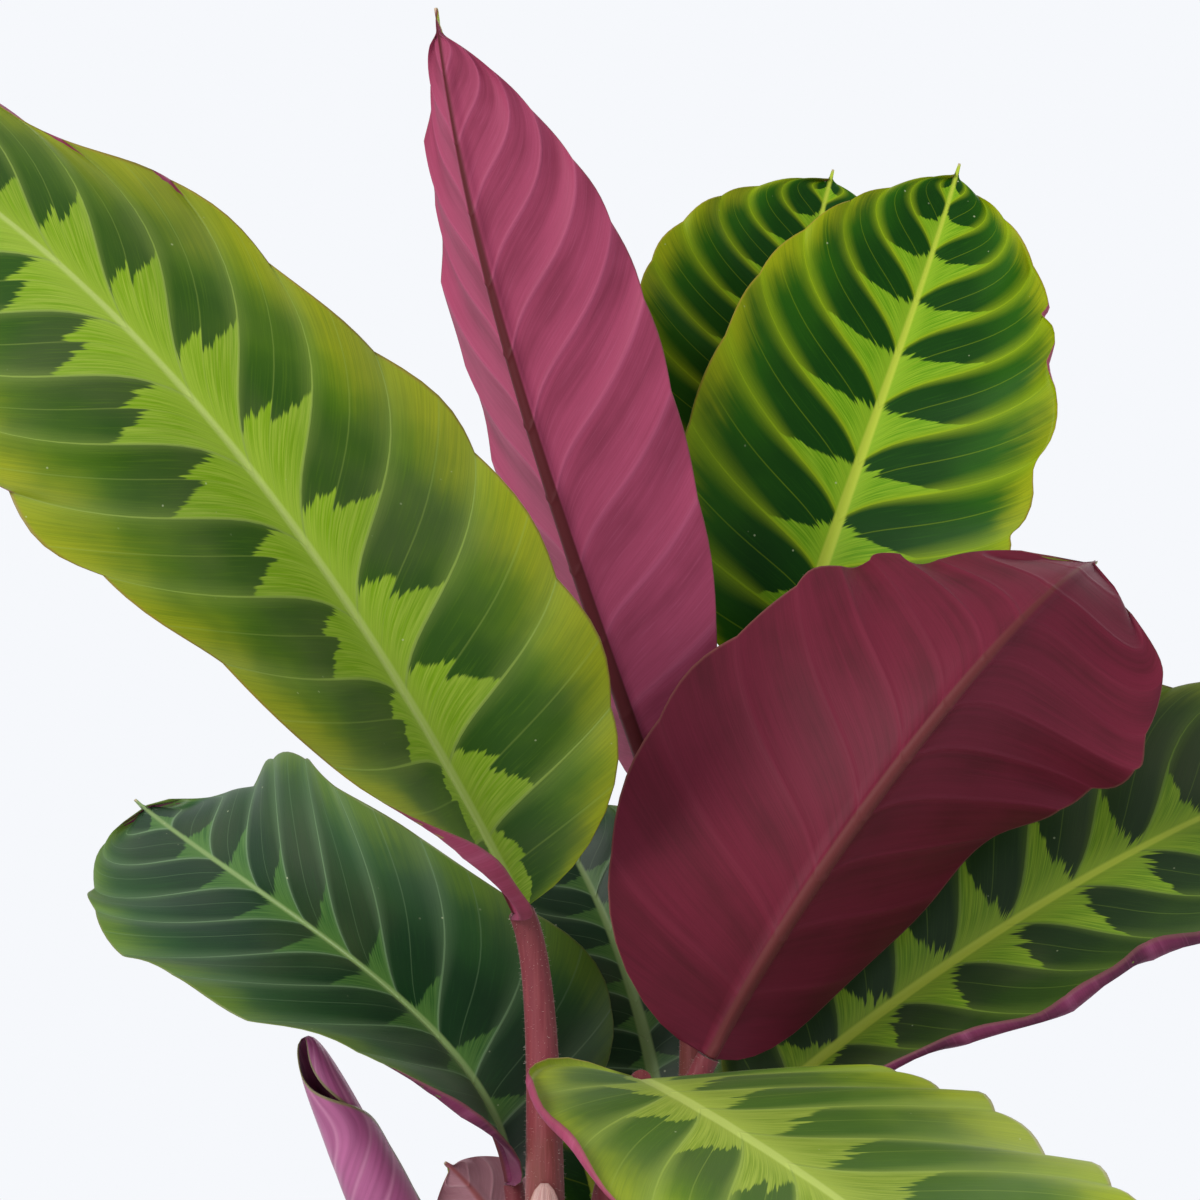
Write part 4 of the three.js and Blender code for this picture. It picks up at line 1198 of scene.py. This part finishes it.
# %% Sizes and outline of the pot
POT_HEIGHT = 150
BASE_RADIUS = 58
SHOULDER_RADIUS = 79
SHOULDER = 122
RIM_RADIUS = 86
WALL = 6
POT_FLOOR = 7.5
DRAIN_RADIUS = 5
DRAIN_CIRCLE = 30


def inner_radius(z):
    return BASE_RADIUS + (SHOULDER_RADIUS - BASE_RADIUS) * z / SHOULDER - WALL


def round_corners(corners, radii, steps=6):
    """Replaces each corner of an open outline by a small arc that starts this far before it."""
    points = [np.array(corners[0], float)]
    for before, corner, after, size in zip(corners, corners[1:], corners[2:], radii):
        corner = np.array(corner, float)
        start = corner + unit(np.array(before, float) - corner) * size
        end = corner + unit(np.array(after, float) - corner) * size
        points.extend(bezier([start, corner, end], np.linspace(0, 1, steps)))
    points.append(np.array(corners[-1], float))
    return np.array(points)


POT_CORNERS = [
    (0, 0), (BASE_RADIUS, 0), (SHOULDER_RADIUS, SHOULDER), (RIM_RADIUS - 1, SHOULDER + 0.5),
    (RIM_RADIUS, POT_HEIGHT), (inner_radius(POT_HEIGHT), POT_HEIGHT), (inner_radius(POT_FLOOR), POT_FLOOR),
    (0, POT_FLOOR),
]
POT_ROUNDS = (3, 1.2, 3, 3.4, 3.4, 4)
pot_outline = round_corners(POT_CORNERS, POT_ROUNDS)
print("points in the pot's outline:", len(pot_outline))


# %% Geometry Nodes for the pot
RING_RADIUS = 1.0
DRILL_SIDES = 24
DRILL_LENGTH = 30
WELD = 0.02


def pot_tree():
    """Sweeps an outline round a circle, closes its poles and drills the drain holes."""
    sizes = {
        "Segments": "Int", "Drain Radius": "Float", "Drain Circle": "Float", "Drains": "Int",
        "Clay": "Material",
    }
    tree, inputs = geometry_tree("Pot", sizes)
    outline = geo(tree, "MeshToCurve", {"Mesh": inputs["Geometry"]})[0]
    round_way = {"Resolution": inputs["Segments"], "Radius": RING_RADIUS * MM}
    ring = geo(tree, "CurvePrimitiveCircle", round_way)[0]
    wall = geo(tree, "CurveToMesh", {"Curve": ring, "Profile Curve": outline})[0]
    wall = geo(tree, "MergeByDistance", {"Geometry": wall, "Distance": WELD * MM})[0]
    wall = geo(tree, "FlipFaces", {"Mesh": wall})[0]
    shape = {"Vertices": DRILL_SIDES, "Radius": inputs["Drain Radius"], "Depth": DRILL_LENGTH * MM}
    drill = geo(tree, "MeshCylinder", shape)[0]
    spots = geo(tree, "MeshCircle", {"Vertices": inputs["Drains"], "Radius": inputs["Drain Circle"]})[0]
    drills = geo(tree, "InstanceOnPoints", {"Points": spots, "Instance": drill})[0]
    drills = geo(tree, "RealizeInstances", {0: drills})[0]
    drills = geo(tree, "Transform", {"Geometry": drills, "Rotation": (0, 0, math.pi / 4)})[0]
    cut = geo(tree, "MeshBoolean", {"Mesh 1": wall, "Mesh 2": drills}, operation="DIFFERENCE")[0]
    clay = geo(tree, "SetMaterial", {"Geometry": cut, "Material": inputs["Clay"]})[0]
    put(tree, "NodeGroupOutput", {0: clay})
    return tree


# %% Finish of the clay
def clay_finish():
    """Unglazed clay: uneven orange red, fine pits, turning marks and a faint lime bloom near the foot."""
    material, tree = new_finish("unglazed_clay")
    place = object_place(tree)
    z = Wire(tree, put(tree, "ShaderNodeSeparateXYZ", {0: place}).outputs[2])
    clouds = noise(tree, place, 18.0, 5.0)
    grain = noise(tree, place, 900.0, 3.0)
    turning = noise(tree, object_place(tree, (6, 6, 420)), 1.0, 3.0)
    skin = layered(
        tree, srgb(176, 98, 66),
        (clouds.step(0.3, 0.7), srgb(196, 122, 86)),
        (grain.step(0.55, 0.75, 0.0, 0.6), srgb(142, 76, 52)),
        (turning.step(0.45, 0.75, 0.0, 0.25), srgb(214, 150, 116)),
        ((clouds + turning * 0.4 - z * 3.0).step(0.45, 0.85, 0.0, 0.45), srgb(222, 206, 190)),
    )
    surface_of(tree, skin, grain * 0.6 + turning, 0.35, Roughness=0.88, Specular_IOR_Level=0.25)
    return material


# %% Build the pot
pot_chain = [(radius - RING_RADIUS, -height, 0) for radius, height in pot_outline]
pot_sizes = {
    "Segments": 120, "Drain Radius": DRAIN_RADIUS * MM, "Drain Circle": DRAIN_CIRCLE * MM, "Drains": 4,
    "Clay": clay_finish(),
}
pot = run_tree(show("clay_pot", path_mesh("clay_pot", pot_chain, {})), pot_tree(), pot_sizes)
tie(pot, "pot", "pot")
print("pot:", len(pot.data.polygons), "faces,", [round(size, 4) for size in pot.dimensions], "m")

# %% [markdown]
# Potting soil is a dark crumbly mass with white grains of perlite and bits of bark. Its body is a plug with
# an uneven top that fills the pot. The loose grains on top are scattered by Geometry Nodes: one lump, placed
# at random with a fixed seed, turned every way and in many sizes, and then roughened so that no two are
# alike.

# %% Body of the soil
SOIL_RINGS = 40
SOIL_SIDES = 120
SOIL_FOOT = 4
FOOT_INSET = 3
CRUMB_HEIGHT = 1.4


def soil_height(x, y):
    """The height of the soil's bumpy top."""
    long_waves = np.sin(0.19 * x + 1.3) * np.cos(0.16 * y - 0.4)
    short_waves = np.sin(0.41 * x - 0.37 * y) * np.cos(0.33 * x + 0.47 * y + 2.1)
    fine = 0.4 * np.sin(1.3 * x + 0.9 * y + 1) * np.sin(1.1 * y - 0.8 * x)
    fine = fine + 0.25 * np.sin(2.7 * x) * np.sin(2.3 * y)
    return SOIL_TOP + CRUMB_HEIGHT * (0.6 * long_waves + 0.4 * short_waves) + fine


def ring_points(radius, sides, sink=0.0, z=None):
    """Points of a level ring at z, or of one that lies this far under the soil's top."""
    angle = np.linspace(0, 2 * math.pi, sides, endpoint=False)
    x, y = radius * np.cos(angle), radius * np.sin(angle)
    height = soil_height(x, y) - sink if z is None else np.full(sides, float(z))
    return np.stack([x, y, height], -1).tolist()


def mesh_of(name, points, faces):
    """A mesh from points in millimetres."""
    mesh = bpy.data.meshes.new(name)
    mesh.from_pydata((np.array(points) * MM).tolist(), [], faces)
    return mesh


def soil_mesh(name):
    """A plug that fills the pot up to its bumpy top."""
    edge = inner_radius(SOIL_TOP) - GAP
    foot = inner_radius(POT_FLOOR + SOIL_FOOT) - GAP
    bottom = POT_FLOOR + GAP
    rings = [(foot - FOOT_INSET, bottom), (foot, POT_FLOOR + SOIL_FOOT), (edge, SOIL_TOP)]
    rings += [(edge * k / SOIL_RINGS, None) for k in range(SOIL_RINGS - 1, 0, -1)]
    points = [point for radius, z in rings for point in ring_points(radius, SOIL_SIDES, z=z)]
    points += [(0, 0, bottom), (0, 0, float(soil_height(0, 0)))]
    low, high = len(points) - 2, len(points) - 1
    last = (len(rings) - 1) * SOIL_SIDES
    faces = []
    for k in range(SOIL_SIDES):
        after = (k + 1) % SOIL_SIDES
        faces.append((after, k, low))
        faces.append((last + k, last + after, high))
        for start in range(0, last, SOIL_SIDES):
            faces.append((start + k, start + after, start + SOIL_SIDES + after, start + SOIL_SIDES + k))
    mesh = mesh_of(name, points, faces)
    mesh.shade_smooth()
    return mesh


def soil_finish():
    """Dark peat with paler fibres."""
    material, tree = new_finish("peat")
    place = object_place(tree)
    lumps = noise(tree, place, 160.0, 6.0)
    voronoi = put(tree, "ShaderNodeTexVoronoi", {"Vector": place, "Scale": 420.0})
    cells = Wire(tree, voronoi.outputs["Distance"])
    skin = layered(
        tree, srgb(34, 25, 19),
        (lumps.step(0.35, 0.7), srgb(72, 54, 40)),
        (lumps.step(0.62, 0.72, 0.0, 0.5), srgb(112, 88, 64)),
    )
    surface_of(tree, skin, cells + lumps, 1.2, Roughness=0.95, Specular_IOR_Level=0.2)
    return material


soil = show("potting_soil", soil_mesh("potting_soil"))
soil.data.materials.append(soil_finish())
print("soil faces:", len(soil.data.polygons))


# %% Geometry Nodes for loose grains
GRAIN_SIZES = (0.35, 1.2)
FULL_TURN = 6.3
LUMP_SIZE = 1.6


def grain_tree():
    """Scatters rough lumps over a surface, in many sizes and turned every way."""
    sizes = {
        "Number per Square Metre": "Float", "Grain Radius": "Float", "Flatness": "Float",
        "Seed": "Int", "Finish": "Material",
    }
    tree, inputs = geometry_tree("Loose grains", sizes)
    spots = {"Mesh": inputs["Geometry"], "Density": inputs["Number per Square Metre"], "Seed": inputs["Seed"]}
    points = geo(tree, "DistributePointsOnFaces", spots)[0]
    ball = geo(tree, "MeshIcoSphere", {"Radius": inputs["Grain Radius"], "Subdivisions": 2})[0]
    squash = put(tree, "ShaderNodeCombineXYZ", {0: 1.0, 1: 0.8, 2: inputs["Flatness"]}).outputs[0]
    ball = geo(tree, "Transform", {"Geometry": ball, "Scale": squash})[0]
    stand = {
        "Points": points, "Instance": ball,
        "Rotation": random_turn(tree, (0.0, 0.0, 0.0), (FULL_TURN, FULL_TURN, FULL_TURN), 3),
        "Scale": random_number(tree, *GRAIN_SIZES, 5),
    }
    grains = geo(tree, "RealizeInstances", {0: geo(tree, "InstanceOnPoints", stand)[0]})[0]
    place = geo(tree, "InputPosition")[0]
    rough = put(tree, "ShaderNodeTexNoise", {"Vector": place, "Scale": 420.0}).outputs[1]
    centred = {0: rough, 1: (0.5, 0.5, 0.5)}
    push = put(tree, "ShaderNodeVectorMath", centred, operation="SUBTRACT").outputs[0]
    push = put(tree, "ShaderNodeVectorMath", {0: push, 3: LUMP_SIZE * MM}, operation="SCALE").outputs[0]
    grains = geo(tree, "SetPosition", {"Geometry": grains, "Offset": push})[0]
    done = geo(tree, "SetMaterial", {"Geometry": grains, "Material": inputs["Finish"]})[0]
    put(tree, "NodeGroupOutput", {0: done})
    return tree


# %% Scatter the grains
PATCH_RADIUS = 70
PATCH_RINGS = 12
PATCH_SIDES = 48
PATCH_SINK = 0.3
GRAINS = {
    "soil_crumbs": (58000, 1.5, 0.7, 2, mottled_finish("crumbs", (30, 22, 17), (66, 48, 35), 0.95)),
    "bark_chips": (5200, 2.6, 0.35, 5, mottled_finish("bark", (74, 46, 28), (118, 80, 52), 0.85)),
    "perlite": (7500, 1.3, 0.85, 9, mottled_finish("perlite", (222, 220, 212), (244, 243, 238), 0.9)),
}


def top_patch(name):
    """The part of the soil's top that grains lie on, as a mesh of its own."""
    points = [(0.0, 0.0, float(soil_height(0, 0)) - PATCH_SINK)]
    for k in range(1, PATCH_RINGS + 1):
        points += ring_points(PATCH_RADIUS * k / PATCH_RINGS, PATCH_SIDES, PATCH_SINK)
    around = [(k, (k + 1) % PATCH_SIDES) for k in range(PATCH_SIDES)]
    faces = [(0, 1 + k, 1 + after) for k, after in around]
    for ring in range(PATCH_RINGS - 1):
        low, high = 1 + ring * PATCH_SIDES, 1 + (ring + 1) * PATCH_SIDES
        faces += [(low + k, high + k, high + after, low + after) for k, after in around]
    return mesh_of(name, points, faces)


loose_grains = grain_tree()
for name, (number, radius, flatness, seed, finish) in GRAINS.items():
    values = {
        "Number per Square Metre": float(number), "Grain Radius": radius * MM, "Flatness": flatness,
        "Seed": seed, "Finish": finish,
    }
    grains = run_tree(show(name, top_patch(name)), loose_grains, values)
    tie(grains, None, "soil")
    print(name, len(grains.data.polygons), "faces")
tie(soil, "soil", "soil")

# %% [markdown]
# Everything belongs to one rigid plant in its pot, so every piece rides on the one body. Each piece that
# stands for a plain solid hides it. The loose grains stand for none.

# %% Tie the pieces to the frame
for piece, node, slot in pieces:
    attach(piece, "root")
    if node:
        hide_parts(node)
triangles = sum(sum(len(face.vertices) - 2 for face in piece.data.polygons) for piece, _, _ in pieces)
print("pieces:", len(pieces), "triangles:", triangles)
